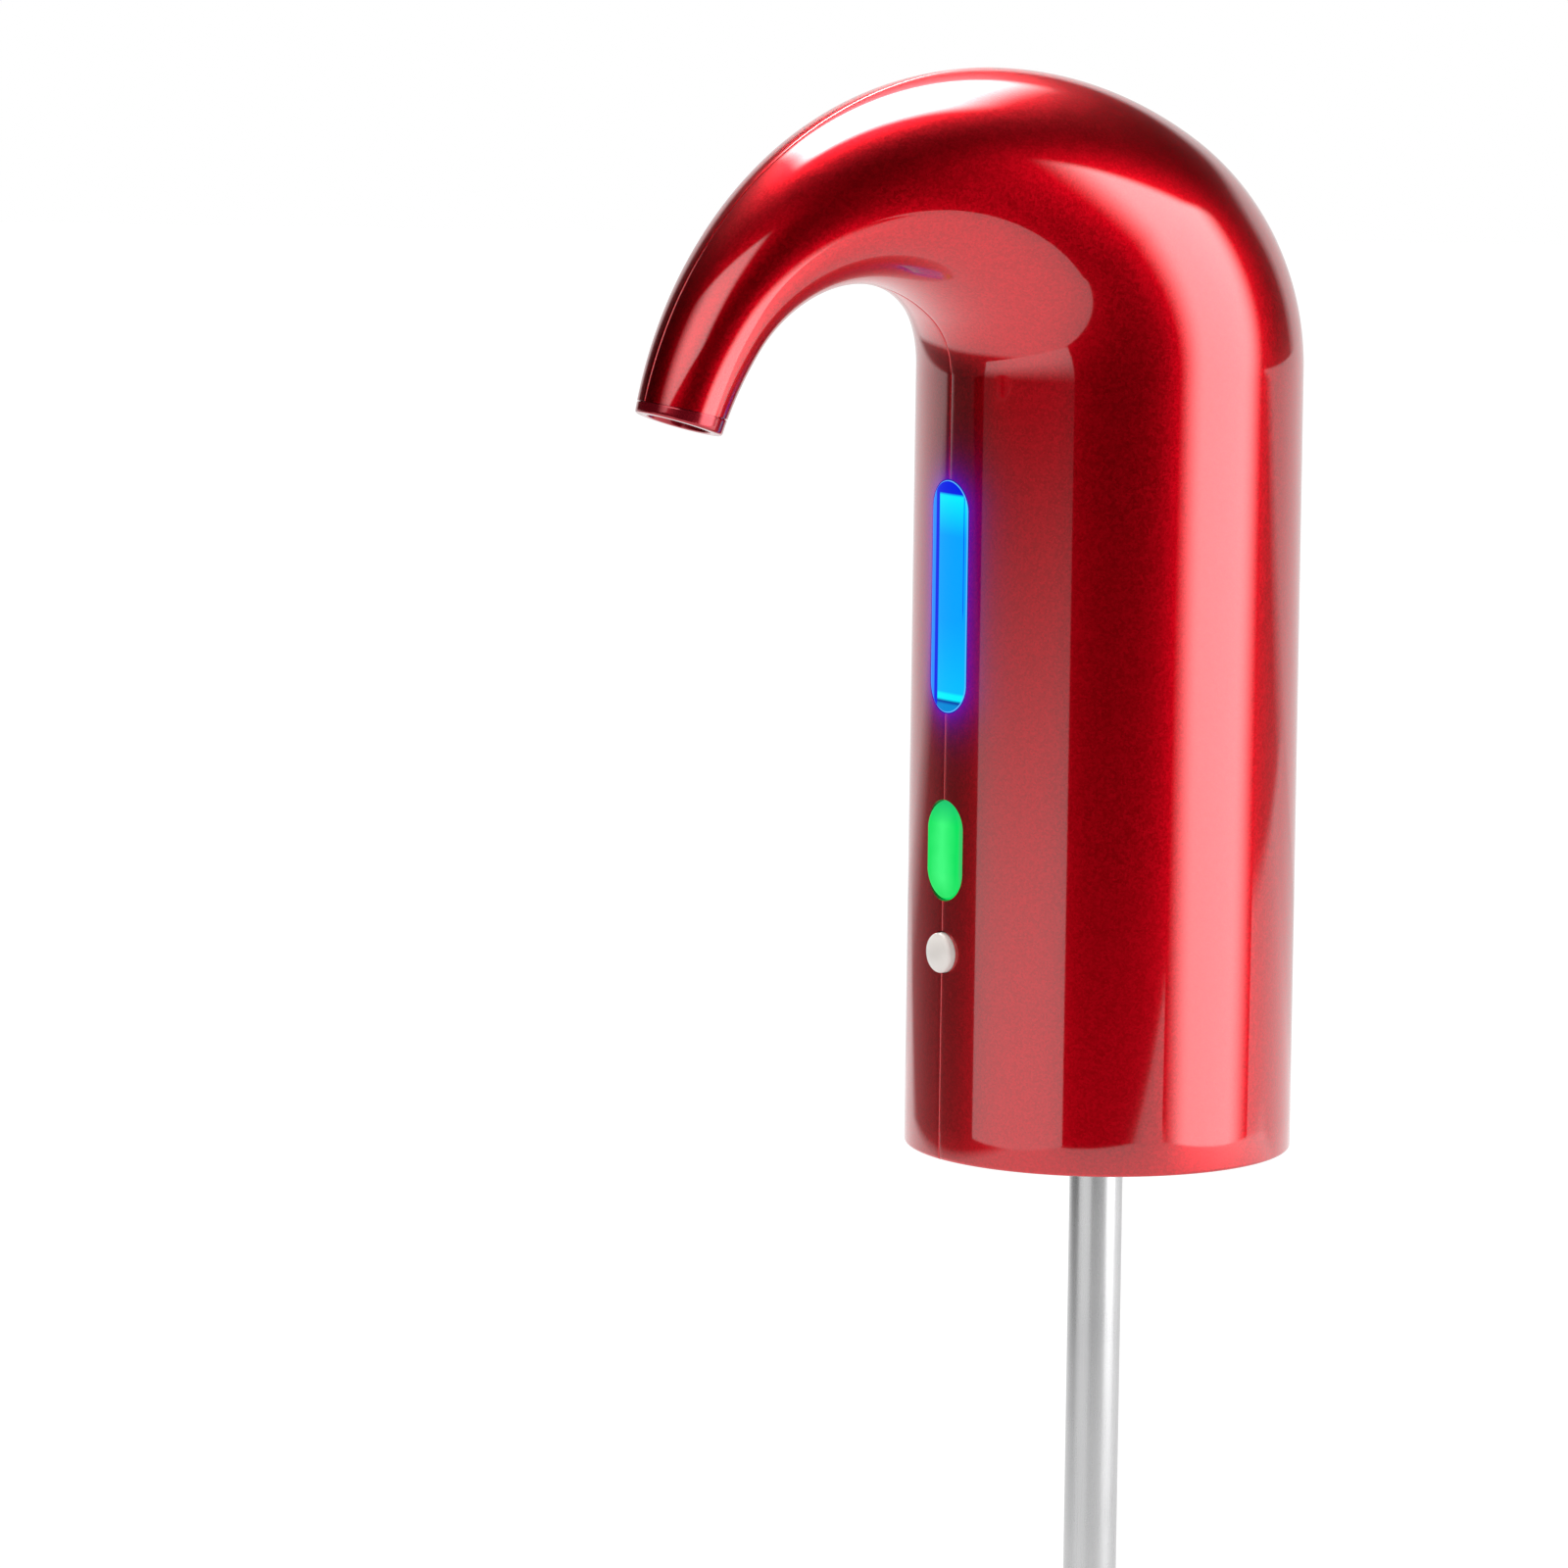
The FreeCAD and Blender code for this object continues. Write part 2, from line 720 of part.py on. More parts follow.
def flow_connector():
    low = ceiling_z
    flange_top = low + connector_flange
    top = connector_top
    tube_bore = upper_tube_radius + close_fit
    points = [
        (spigot_bore, -spigot_length), (spigot_radius, -spigot_length), (spigot_radius, low),
        (connector_flange_radius, low), (connector_flange_radius, flange_top), (dome_radius, flange_top),
        (dome_radius, top - 1.5), (dome_radius - 1.5, top), (0, top), (0, tube_top),
        (tube_bore, tube_top), (tube_bore, tube_top - tube_grip), (spigot_bore, tube_top - tube_grip),
    ]
    body = turned(points)
    barb = rod(barb_radius, top - 1, top + barb_length, hose_x, 0)
    direction = air_direction
    port_z = V(0, 0, air_port_z)
    port = Part.makeCylinder(air_barb_radius, air_port_reach - dome_radius + 1.5,
                             port_z + direction * (dome_radius - 1.5), direction)
    body = body.fuse([barb, port])
    channel = rod(barb_bore, tube_top - 0.5, top + barb_length + 1, hose_x, 0)
    air = Part.makeCylinder(air_bore, air_port_reach, port_z + direction * (spigot_bore - 0.5), direction)
    return body.cut([channel, air]).removeSplitter()


# Tubes

def upper_tube():
    inner = upper_tube_radius - tube_wall
    mouth = lower_tube_radius + close_fit
    end = -upper_tube_below
    points = [
        (inner, tube_top - 0.1), (upper_tube_radius, tube_top - 0.1), (upper_tube_radius, end + tube_lip + 0.5),
        (upper_tube_radius - lip_in, end + tube_lip), (upper_tube_radius - lip_in, end),
        (mouth, end), (mouth, end + tube_lip), (inner, end + tube_lip + 0.5),
    ]
    return turned(points)


def lower_tube():
    end = -upper_tube_below - lower_tube_proud
    top = end + lower_tube_length
    inner = lower_tube_radius - tube_wall
    points = [
        (inner, end), (lower_tube_radius, end), (lower_tube_radius, top - bead_length - 0.3),
        (bead_radius, top - bead_length), (bead_radius, top - 0.3), (bead_radius - 0.3, top), (inner, top),
    ]
    return turned(points)


def inlet_foot():
    """sleeve on the lower tube's end, with side slots that keep it from sealing on the floor of a vessel"""
    low = -upper_tube_below - lower_tube_proud - 2.5
    high = low + foot_length
    bore = lower_tube_radius + close_fit
    mouth = lower_tube_radius - tube_wall
    points = [
        (mouth, low), (foot_radius - 0.4, low), (foot_radius, low + 0.4), (foot_radius, high - 0.6),
        (foot_radius - 0.4, high), (bore, high), (bore, low + 2.5), (mouth, low + 2.5),
    ]
    slots = []
    for k in range(foot_slots):
        slot = box(0, foot_radius + 1, -0.9, 0.9, low - 1, low + 1.8)
        slot.rotate(V(0, 0, 0), V(0, 0, 1), 360 * k / foot_slots + 30)
        slots.append(slot)
    return turned(points).cut(slots)


# Inner frame

def inner_frame():
    low = at(frame_bottom)
    high = at(frame_top)
    half = frame_half
    edge = frame_thickness / 2
    back = -frame_plate + frame_thickness
    parts = [box(-frame_plate, back, -half, half, low, high)]
    for side in (-1, 1):
        y0, y1 = sorted((side * (half - edge), side * (half + edge)))
        parts.append(box(back - 0.5, frame_rail_end, y0, y1, low, high))
    disc_room = box(-frame_plate, frame_radius + 1, -40, 40, low - 1, high + 1)
    for shelf in (frame_bottom, mid_shelf, ring_shelf):
        parts.append(rod(frame_radius, at(shelf), at(shelf) + frame_thickness).common(disc_room))
    for z in board_screw_heights:
        for side in (-1, 1):
            start = -board_front + board_thickness
            parts.append(rod_x(standoff_radius, start, -frame_plate + 1, side * board_screw_y, at(z)))
    frame = fused(parts)
    cuts = [rod(hose_radius + hose_room + 0.4, low - 1, high + 1, hose_x, 0)]
    cuts.append(rod(battery_radius + 0.2, at(ring_shelf) - 1, high + 1, pump_x, 0))
    cuts.append(rod(shaft_radius + 1.2, at(mid_shelf) - 1, at(mid_shelf) + 3, pump_x, 0))
    for x, y in frame_posts:
        for side in (-1, 1):
            cuts.append(rod(frame_screw_radius + 0.1, low - 1, low + 3, x, side * y))
    cuts.append(rod(air_hose_radius + 0.3, low - 1, low + 3, air_outlet.x, air_outlet.y))
    for x, y in pump_screw_places:
        cuts.append(rod(1.1, low - 1, low + 3, pump_x + x, y))
    for z in board_screw_heights:
        for side in (-1, 1):
            cuts.append(rod_x(0.85, -board_front, -frame_plate + 6, side * board_screw_y, at(z)))
    for x in guide_ribs:
        for side in (-1, 1):
            y0, y1 = sorted((side * (half + edge), side * (frame_radius + 1)))
            notch = box(x - 2 * guide_gap, x + guide_rib + 2 * guide_gap, y0, y1, at(mid_shelf) - 1, at(mid_shelf) + 3)
            cuts.append(notch)
    lower = (frame_bottom + opening_margin, mid_shelf - opening_margin)
    upper = (mid_shelf + opening_margin, ring_shelf - ring_margin)
    for start, end in (lower, upper):
        cuts.append(box(-opening_front, opening_back, -rim_radius, rim_radius, at(start), at(end)))
    return frame.cut(cuts)


# Pump

pump_z = at(frame_bottom) + frame_thickness
diaphragm_z = pump_z + pump_head_height
pump_body_z = diaphragm_z + diaphragm_thickness
motor_z = pump_body_z + pump_body_height
motor_end = motor_z + motor_length
eccentric_top = motor_z - 2.6


def cup_places():
    for k in range(3):
        angle = math.radians(120 * k + 60)
        yield pump_x + cup_circle * math.cos(angle), cup_circle * math.sin(angle)


def pump_head():
    shape = rod(pump_radius, pump_z, diaphragm_z, pump_x)
    x = air_outlet.x
    y = air_outlet.y
    shape = shape.fuse(rod(air_barb_radius, pump_z - air_barb_length, pump_z + 1, x, y))
    cuts = [rod(air_bore, pump_z - air_barb_length - 1, pump_z + 3, x, y)]
    for cx, cy in cup_places():
        cuts.append(rod(cup_radius - 0.4, diaphragm_z - 2, diaphragm_z + 1, cx, cy))
    for x, y in pump_screw_places:
        cuts.append(rod(1.0 + screw_clearance, pump_z - 1, pump_z + 4, pump_x + x, y))
    return shape.cut(cuts)


def pump_screws():
    made = []
    for x, y in pump_screw_places:
        one = screw(1.0, 1.8, 1.0, 4.0)
        one.rotate(V(0, 0, 0), V(1, 0, 0), 180)
        one.translate(V(pump_x + x, y, at(frame_bottom)))
        made.append(one)
    return Part.makeCompound(made)


def diaphragm():
    shape = rod(pump_radius - 0.2, diaphragm_z, pump_body_z, pump_x)
    for x, y in cup_places():
        cup = Part.makeCone(cup_radius, cup_radius - 0.8, cup_height, V(x, y, pump_body_z - 0.2))
        shape = shape.fuse(cup)
    return shape.removeSplitter()


def wobble_plate():
    z = pump_body_z + cup_height - 0.2
    plate = rod(wobble_radius, z, z + wobble_thickness, pump_x)
    hub = rod(wobble_hub_radius, z, z + wobble_thickness + 1.6, pump_x)
    bore = rod(wobble_hub_bore, z + 0.8, z + 9, pump_x)
    return plate.fuse(hub).removeSplitter().cut(bore)


def pump_body():
    cavity = pump_radius - pump_wall
    points = [
        (cavity, pump_body_z), (pump_radius, pump_body_z), (pump_radius, motor_z), (3.0, motor_z),
        (3.0, motor_z - 2.0), (cavity, motor_z - 2.0),
    ]
    return turned(points, pump_x)


def motor_can():
    end = motor_end
    bore = shaft_radius + shaft_clearance
    points = [
        (bore, motor_z - 1.2), (2.8, motor_z - 1.2), (2.8, motor_z), (motor_radius, motor_z),
        (motor_radius, end - 0.8), (motor_radius - 0.8, end), (3.2, end),
        (3.2, end + motor_rear_boss), (bore, end + motor_rear_boss),
    ]
    return turned(points, pump_x)


def motor_shaft():
    top = motor_end + motor_rear_boss + shaft_end
    return rod(shaft_radius, eccentric_top - eccentric_height + eccentric_floor, top, pump_x)


def eccentric():
    high = eccentric_top
    low = high - eccentric_height
    disc = rod(eccentric_radius, low, high, pump_x)
    pin = rod(pin_radius, low - pin_length, low + eccentric_floor / 2, pump_x + pin_offset)
    flat = box(pump_x + 1.8, pump_x + 5, -5, 5, low + 1.5, high + 1)
    bore = rod(shaft_radius, low + eccentric_floor, high + 1, pump_x)
    return disc.cut([bore, flat]).fuse(pin).removeSplitter()


# Battery and hoses

def battery():
    low = at(mid_shelf) + frame_thickness
    can = rod(battery_radius, low, low + battery_length, pump_x)
    can = can.makeFillet(0.6, [can.Edges[0], can.Edges[2]])
    return can.fuse(rod(battery_cap_radius, low + battery_length - 0.1, low + battery_length + battery_cap, pump_x))


def pour_hose():
    return sweep(hose_path(), hose_radius, hose_bore)


def air_hose():
    direction = air_direction
    z = air_port_z
    top = V(air_outlet.x, air_outlet.y, pump_z)
    corner_top = V(air_outlet.x, air_outlet.y, z + air_hose_bend)
    corner_in = direction * (air_outlet_reach - air_hose_bend) + V(0, 0, z)
    bend = math.radians(45)
    middle = direction * (air_outlet_reach - air_hose_bend * (1 - math.cos(bend)))
    middle = middle + V(0, 0, z + air_hose_bend * (1 - math.sin(bend)))
    end = direction * dome_radius + V(0, 0, z)
    path = Part.Wire([
        Part.LineSegment(top, corner_top).toShape(),
        Part.Arc(corner_top, middle, corner_in).toShape(),
        Part.LineSegment(corner_in, end).toShape(),
    ])
    return sweep(path, air_hose_radius, air_barb_radius + close_fit)


# Circuit board, switches and lights

def circuit_board():
    half = board_width / 2
    board = box(-board_front, -board_front + board_thickness, -half, half, at(board_bottom), at(board_top))
    holes = []
    for z in board_screw_heights:
        for side in (-1, 1):
            holes.append(rod_x(1.0, -board_front - 1, -board_front + 3, side * board_screw_y, at(z)))
    return board.cut(holes)


def board_screws():
    made = []
    for z in board_screw_heights:
        for side in (-1, 1):
            one = screw(0.8, 1.7, screw_head_height, board_screw_length)
            one.rotate(V(0, 0, 0), V(0, 1, 0), -90)
            one.translate(V(-board_front, side * board_screw_y, at(z)))
            made.append(one)
    return Part.makeCompound(made)


def switch_body(height):
    half = switch_size / 2
    front = -board_front - switch_depth
    body = box(front, -board_front, -half, half, at(height) - half, at(height) + half)
    well = rod_x(plunger_radius + plunger_clearance, front - 1, front + 2.0, 0, at(height))
    return body.cut(well)


def switch_plunger(height):
    front = -board_front - switch_depth
    depth = 2.0 - button_travel - 0.2
    return rod_x(plunger_radius, front - plunger_proud, front + depth, 0, at(height))


def plunger_face():
    return -board_front - switch_depth - plunger_proud


def flange_face(height):
    """inner wall at a panel piece's upper edge, less a small gap"""
    return body_radius(height) - wall - close_fit


def power_button():
    z = at(power_height)
    seat = flange_face(power_height + power_length / 2)
    apex = body_radius(power_height) + power_proud
    cap = stadium(power_width, power_length, z, -apex - 1, -seat + flange_thickness)
    dome = Part.makeSphere(power_dome_radius, V(power_dome_radius - apex, 0, z))
    cap = cap.common(dome)
    skirt = stadium(power_width + 2 * flange_overlap, power_length + 2 * flange_overlap, z, -seat - 5, -seat + 5)
    skirt = skirt.common(ring(seat, seat - flange_thickness, z - 30, z + 30))
    stem = rod_x(stem_radius, -seat + 0.5, plunger_face(), 0, z)
    return fused([cap.common(box(-40, -seat + 0.5, -20, 20, z - 20, z + 20)), skirt, stem])


def small_button():
    z = at(small_height)
    seat = flange_face(small_height + small_radius)
    apex = body_radius(small_height) + small_proud
    cap = rod_x(small_radius, -apex - 1, -seat + 0.5, 0, z)
    dome = Part.makeSphere(small_dome_radius, V(small_dome_radius - apex, 0, z))
    edge = apex - small_dome_radius + math.sqrt(small_dome_radius ** 2 - small_radius ** 2)
    crown = cap.common(box(-60, -edge, -20, 20, z - 20, z + 20)).common(dome)
    barrel = rod_x(small_radius, -edge, -seat + 0.5, 0, z)
    skirt = rod_x(small_radius + flange_overlap, -seat - 5, -seat + 5, 0, z)
    skirt = skirt.common(ring(seat, seat - flange_thickness, z - 30, z + 30))
    stem = rod_x(stem_radius, -seat + 0.5, plunger_face(), 0, z)
    return fused([crown, barrel, skirt, stem])


def light_window():
    z = at(window_height)
    seat = flange_face(window_height + window_length / 2)
    face = body_radius(window_height) + window_proud
    plug = stadium(window_width, window_length, z, -face - 2, -seat + 2)
    plug = plug.common(ring(face, seat - 0.5, z - 40, z + 40))
    skirt = stadium(window_width + 2 * flange_overlap, window_length + 2 * flange_overlap, z, -seat - 5, -seat + 5)
    skirt = skirt.common(ring(seat, seat - flange_thickness, z - 40, z + 40))
    return plug.fuse(skirt).removeSplitter()


def light_guide():
    z = at(window_height)
    seat = flange_face(window_height + window_length / 2) - flange_thickness
    half = guide_width / 2
    front = math.sqrt(seat ** 2 - half ** 2) - 0.1
    block = box(-front, -board_front - led_depth - 0.1, -half, half, z - guide_length / 2, z + guide_length / 2)
    return block.makeFillet(0.8, [e for e in block.Edges if abs(e.tangentAt(0).x) > 0.9])


def light_emitters():
    made = []
    half = led_size / 2
    for k in range(led_count):
        z = at(window_height + (k - (led_count - 1) / 2) * led_pitch)
        made.append(box(-board_front - led_depth, -board_front, -half, half, z - half, z + half))
    return Part.makeCompound(made)


def button_lights():
    made = []
    z = at(power_height)
    for side in (-1, 1):
        y = side * (switch_size / 2 + 1.6)
        made.append(box(-board_front - 0.8, -board_front, y - 0.6, y + 0.6, z - 1.0, z + 1.0))
    return Part.makeCompound(made)


# Charging port

def charge_board():
    z = at(port_height - port_thickness / 2)
    start = socket_outer + 0.3
    half = charge_board_width / 2
    reach = math.sqrt((inner_radius - 0.2) ** 2 - half ** 2)
    return box(start, reach, -half, half, z - charge_board_thickness, z)


def usb_socket():
    z = at(port_height)
    front = inner_radius - port_inset
    shell = slot_y(port_width, port_thickness, z, front - port_depth, front)
    well = slot_y(port_width - 0.7, port_thickness - 0.7, z, front - port_depth + 1.0, front + 1)
    tongue = box(front - port_depth + 0.5, front - 1.0, -3.3, 3.3, z - 0.35, z + 0.35)
    return shell.cut(well).fuse(tongue)


def port_cover():
    """flap that swings on its lower edge, with a low plug in the port's slot"""
    z = at(port_height)
    flap = slot_y(cover_width - 2 * cover_gap, cover_height - 2 * cover_gap, z, inner_radius, rim_radius + 2)
    face = body_radius(port_height)
    back = face - cover_thickness + 0.1
    flap = flap.common(ring(face, back, z - cover_height, z + cover_height))
    plug = slot_y(port_width - 0.6, port_thickness - 0.6, z, back - cover_plug, back + 0.5)
    return flap.fuse(plug).removeSplitter()


left, right = housing_halves()
export(left, "left_housing")
export(right, "right_housing")
export(spout_collar(), "spout_collar")
export(spout_nozzle(), "spout_nozzle")
export(base_socket(), "base_socket")
export(base_screws(), "base_screws")
export(stopper(), "stopper")
export(flow_connector(), "flow_connector")
export(upper_tube(), "upper_tube")
export(lower_tube(), "lower_tube")
export(inlet_foot(), "inlet_foot")
export(pour_hose(), "pour_hose")
export(air_hose(), "air_hose")
export(inner_frame(), "inner_frame")
export(frame_screws(), "frame_screws")
export(pump_head(), "pump_head")
export(pump_screws(), "pump_screws")
export(diaphragm(), "diaphragm")
export(wobble_plate(), "wobble_plate")
export(pump_body(), "pump_body")
export(motor_can(), "pump_motor")
export(motor_shaft(), "motor_shaft")
export(eccentric(), "eccentric")
export(battery(), "battery")
export(circuit_board(), "circuit_board")
export(board_screws(), "board_screws")
export(switch_body(power_height), "power_switch")
export(switch_plunger(power_height), "power_switch_plunger")
export(power_button(), "power_button")
export(switch_body(small_height), "small_switch")
export(switch_plunger(small_height), "small_switch_plunger")
export(small_button(), "small_button")
export(light_window(), "light_window")
export(light_guide(), "light_guide")
export(light_emitters(), "light_emitters")
export(button_lights(), "button_lights")
export(charge_board(), "charge_board")
export(usb_socket(), "usb_socket")
export(port_cover(), "port_cover")
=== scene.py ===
"""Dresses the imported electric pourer. Units are metres, in the frame's own axes: +Z up, spout towards -X."""

import json
import math

import bmesh
import bpy
from mathutils import Matrix, Vector
from mathutils.bvhtree import BVHTree
from mathutils.interpolate import poly_3d_calc


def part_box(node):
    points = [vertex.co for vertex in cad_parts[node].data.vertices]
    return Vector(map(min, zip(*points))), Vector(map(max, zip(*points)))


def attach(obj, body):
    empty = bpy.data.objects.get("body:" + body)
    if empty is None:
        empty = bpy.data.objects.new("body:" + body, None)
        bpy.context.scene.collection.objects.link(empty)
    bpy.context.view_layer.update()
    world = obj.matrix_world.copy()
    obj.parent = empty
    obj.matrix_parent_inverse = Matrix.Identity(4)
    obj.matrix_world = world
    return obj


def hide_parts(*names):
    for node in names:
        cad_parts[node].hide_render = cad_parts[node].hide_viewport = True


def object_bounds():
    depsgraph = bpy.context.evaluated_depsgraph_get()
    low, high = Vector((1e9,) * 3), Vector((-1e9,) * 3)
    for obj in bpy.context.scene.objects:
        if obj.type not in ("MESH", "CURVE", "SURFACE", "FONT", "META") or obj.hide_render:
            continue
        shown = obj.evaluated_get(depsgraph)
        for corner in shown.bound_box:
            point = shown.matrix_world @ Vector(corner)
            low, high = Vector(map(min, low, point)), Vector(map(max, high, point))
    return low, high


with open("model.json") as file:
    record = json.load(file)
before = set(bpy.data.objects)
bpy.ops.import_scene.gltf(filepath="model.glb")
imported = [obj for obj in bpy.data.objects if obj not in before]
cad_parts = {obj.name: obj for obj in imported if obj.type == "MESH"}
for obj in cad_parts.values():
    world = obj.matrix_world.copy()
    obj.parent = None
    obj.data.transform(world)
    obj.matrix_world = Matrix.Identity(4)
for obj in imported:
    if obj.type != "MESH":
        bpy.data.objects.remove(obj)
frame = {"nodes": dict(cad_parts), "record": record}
cad_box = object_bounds()
mm = 0.001

# Housing: the crook is a row of circles between two chains of arcs, as in the frame
rim_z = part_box("left_housing")[0].z
rim_radius = 29.0 * mm
shoulder_radius = rim_radius - 0.2 * mm
body_height = 117.0 * mm
wall = 2.0 * mm
spout_reach = 76.6 * mm
mouth_drop = 5.15 * mm
mouth_radius = 6.5 * mm
mouth_lean = 18.0
back_turn, top_turn = 56.7, 111.15
front_turn, under_turn, bow_turn = 47.3, 101.4, 11.5
bow_bend = 60.3 * mm
section_skew = -0.47
seam_round = 0.27 * mm
rim_round = 0.5 * mm
panel_gap = 0.15 * mm

# Spout end, in distances from the spout's mouth. The joint between collar and housing is a little
# tilted: joint_tilt is what it is nearer to the mouth at the back and further at the front
joint_height = 2.15 * mm
joint_tilt = 0.45 * mm
joint_groove = 0.15 * mm
groove_depth = 0.22 * mm
collar_length = 2.5 * mm
collar_spigot_length = 3.0 * mm
collar_spigot_radius = 4.7 * mm
mouth_bore = 4.75 * mm
nozzle_radius = 3.9 * mm
nozzle_recess = 1.4 * mm
nozzle_length = 6.2 * mm
nozzle_bore = 1.8 * mm

# Panel on the front of the seam, heights above the rim
window_height = 84.25 * mm
window_width = 9.0 * mm
window_length = 34.5 * mm
window_proud = 0.1 * mm
power_height = 46.5 * mm
power_width = 8.35 * mm
power_length = 14.8 * mm
power_proud = 0.5 * mm
small_height = 31.2 * mm
small_radius = 3.0 * mm
small_proud = 1.65 * mm
power_dome = 40.0 * mm
small_dome = 6.0 * mm
port_height = 12.0 * mm
cover_width = 14.0 * mm
cover_height = 8.0 * mm
cover_gap = 0.2 * mm
port_width = 9.6 * mm
port_thickness = 3.9 * mm
skirt_overlap = 1.3 * mm
skirt_thickness = 1.0 * mm
stem_radius = 1.6 * mm

# Inside, as in the frame: heights above the rim and distances from the stopper's axis
inner_radius = shoulder_radius - wall
frame_foot = 40.0 * mm
middle_shelf = 88.6 * mm
board_front = 20.4 * mm
switch_face = 24.7 * mm
pump_x = 12.8 * mm
hose_x = -4.5 * mm
hose_radius = 3.5 * mm
hose_bore = 2.45 * mm
air_hose_radius = 2.0 * mm
air_hose_bore = 1.55 * mm
air_port_z = 12.0 * mm
air_port_way = Vector((0.841665, 0.539999, 0))
connector_top = 17.5 * mm
base_screw_circle = 22.6 * mm
frame_posts = ((-9.0 * mm, 13.5 * mm), (6.5 * mm, 14.5 * mm))
board_screw_heights = (60.0 * mm, 106.0 * mm)
board_screw_y = 10.0 * mm
board_half = 12.0 * mm
board_thickness = 1.6 * mm
board_bottom, board_top = 26.8 * mm, 109.0 * mm
guide_height = 85.0 * mm
guide_half = 4.2 * mm
guide_reach = 16.5 * mm
emitter_pitch = 8.0 * mm
lamp_height = 46.0 * mm
pump_foot = 21.5 * mm
motor_foot = 42.5 * mm

scene = bpy.context.scene


def at(height):
    """z of a height above the lower rim"""
    return rim_z + height


# Numbers in node trees


class Value:
    """A number in a node tree. Sums and products of values add the math nodes that work them out."""

    def __init__(self, tree, socket):
        self.tree = tree
        self.socket = socket

    def math(self, operation, *others):
        node = self.tree.nodes.new("ShaderNodeMath")
        node.operation = operation
        for place, item in enumerate((self,) + others):
            feed(self.tree, item, node.inputs[place])
        return Value(self.tree, node.outputs[0])

    def __add__(self, other):
        return self.math("ADD", other)

    def __sub__(self, other):
        return self.math("SUBTRACT", other)

    def __mul__(self, other):
        return self.math("MULTIPLY", other)

    def __truediv__(self, other):
        return self.math("DIVIDE", other)

    def __neg__(self):
        return self * -1

    def __rsub__(self, other):
        return -self + other

    __radd__ = __add__
    __rmul__ = __mul__


def feed(tree, item, socket):
    """a value is linked to a socket, a plain number is set on it"""
    if isinstance(item, Value):
        tree.links.new(item.socket, socket)
    else:
        socket.default_value = item


def sine(x):
    return x.math("SINE") if isinstance(x, Value) else math.sin(x)


def cosine(x):
    return x.math("COSINE") if isinstance(x, Value) else math.cos(x)


def root(x):
    return x.math("SQRT") if isinstance(x, Value) else math.sqrt(x)


def limited(x, low, high):
    if isinstance(x, Value):
        return x.math("MAXIMUM", low).math("MINIMUM", high)
    return min(max(x, low), high)


# Bends of the crook


def bend_moves(start, turn):
    """moves forward and up of a bend of radius 1 that comes after start degrees of turning"""
    first = math.radians(start)
    last = math.radians(start + turn)
    return math.cos(first) - math.cos(last), math.sin(last) - math.sin(first)


def bend_pair(forward, up, first_turn, second_turn):
    """two bends, as radius and turn, that together go forward and up by the given moves"""
    first_forward, first_up = bend_moves(0, first_turn)
    second_forward, second_up = bend_moves(first_turn, second_turn)
    scale = first_forward * second_up - first_up * second_forward
    first = (forward * second_up - up * second_forward) / scale
    second = (up * first_forward - forward * first_up) / scale
    return (first, first_turn), (second, second_turn)


half_span = mouth_radius * math.cos(math.radians(mouth_lean))
half_fall = mouth_radius * math.sin(math.radians(mouth_lean))
bow_forward, bow_up = bend_moves(front_turn + under_turn, bow_turn)
back_forward = shoulder_radius + spout_reach + half_span
front_forward = spout_reach - shoulder_radius - half_span - bow_bend * bow_forward
front_up = -mouth_drop - half_fall - bow_bend * bow_up
back_arcs = bend_pair(back_forward, half_fall - mouth_drop, back_turn, top_turn)
front_arcs = bend_pair(front_forward, front_up, front_turn, under_turn) + ((bow_bend, bow_turn),)


# The crook's rule, which works on plain numbers and on values in a node tree


def along_arcs(x, z, arcs, fraction):
    """point on a chain of arcs that starts at x, z and heads up"""
    heading = math.pi / 2
    walk = fraction * sum(radius * math.radians(turn) for radius, turn in arcs)
    for radius, degrees in arcs:
        turn = math.radians(degrees)
        bend = limited(walk / radius, 0, turn)
        x = x + radius * (sine(bend + heading) - math.sin(heading))
        z = z + radius * (math.cos(heading) - cosine(bend + heading))
        walk = walk - radius * turn
        heading += turn
    return x, z


def section(rise, fraction):
    """centre, direction to the back and radius of one circle: rise runs up the body, fraction over the
    crook"""
    reach = rim_radius + (shoulder_radius - rim_radius) * rise
    foot = rim_z + body_height * rise
    back_x, back_z = along_arcs(reach, foot, back_arcs, fraction)
    lag = fraction + section_skew * fraction * (1 - fraction)
    front_x, front_z = along_arcs(0 - reach, foot, front_arcs, lag)
    across_x = back_x - front_x
    across_z = back_z - front_z
    width = root(across_x * across_x + across_z * across_z)
    centre = ((back_x + front_x) * 0.5, (back_z + front_z) * 0.5)
    return centre, (across_x / width, across_z / width), width * 0.5


def sheet_of(tree, rows, columns):
    """grid of points, and the row and the column that each point is in"""
    grid = tree.nodes.new("GeometryNodeMeshGrid")
    feed_all(grid, {"Size X": 1, "Size Y": 1, "Vertices X": rows + 1, "Vertices Y": columns + 1})
    place = tree.nodes.new("ShaderNodeSeparateXYZ")
    tree.links.new(tree.nodes.new("GeometryNodeInputPosition").outputs[0], place.inputs[0])
    row, column = (Value(tree, place.outputs[k]) + 0.5 for k in range(2))
    return grid.outputs["Mesh"], row * rows, column * columns


def vector_of(tree, x, y, z):
    spot = tree.nodes.new("ShaderNodeCombineXYZ")
    for part, socket in zip((x, y, z), spot.inputs):
        feed(tree, part, socket)
    return spot.outputs[0]


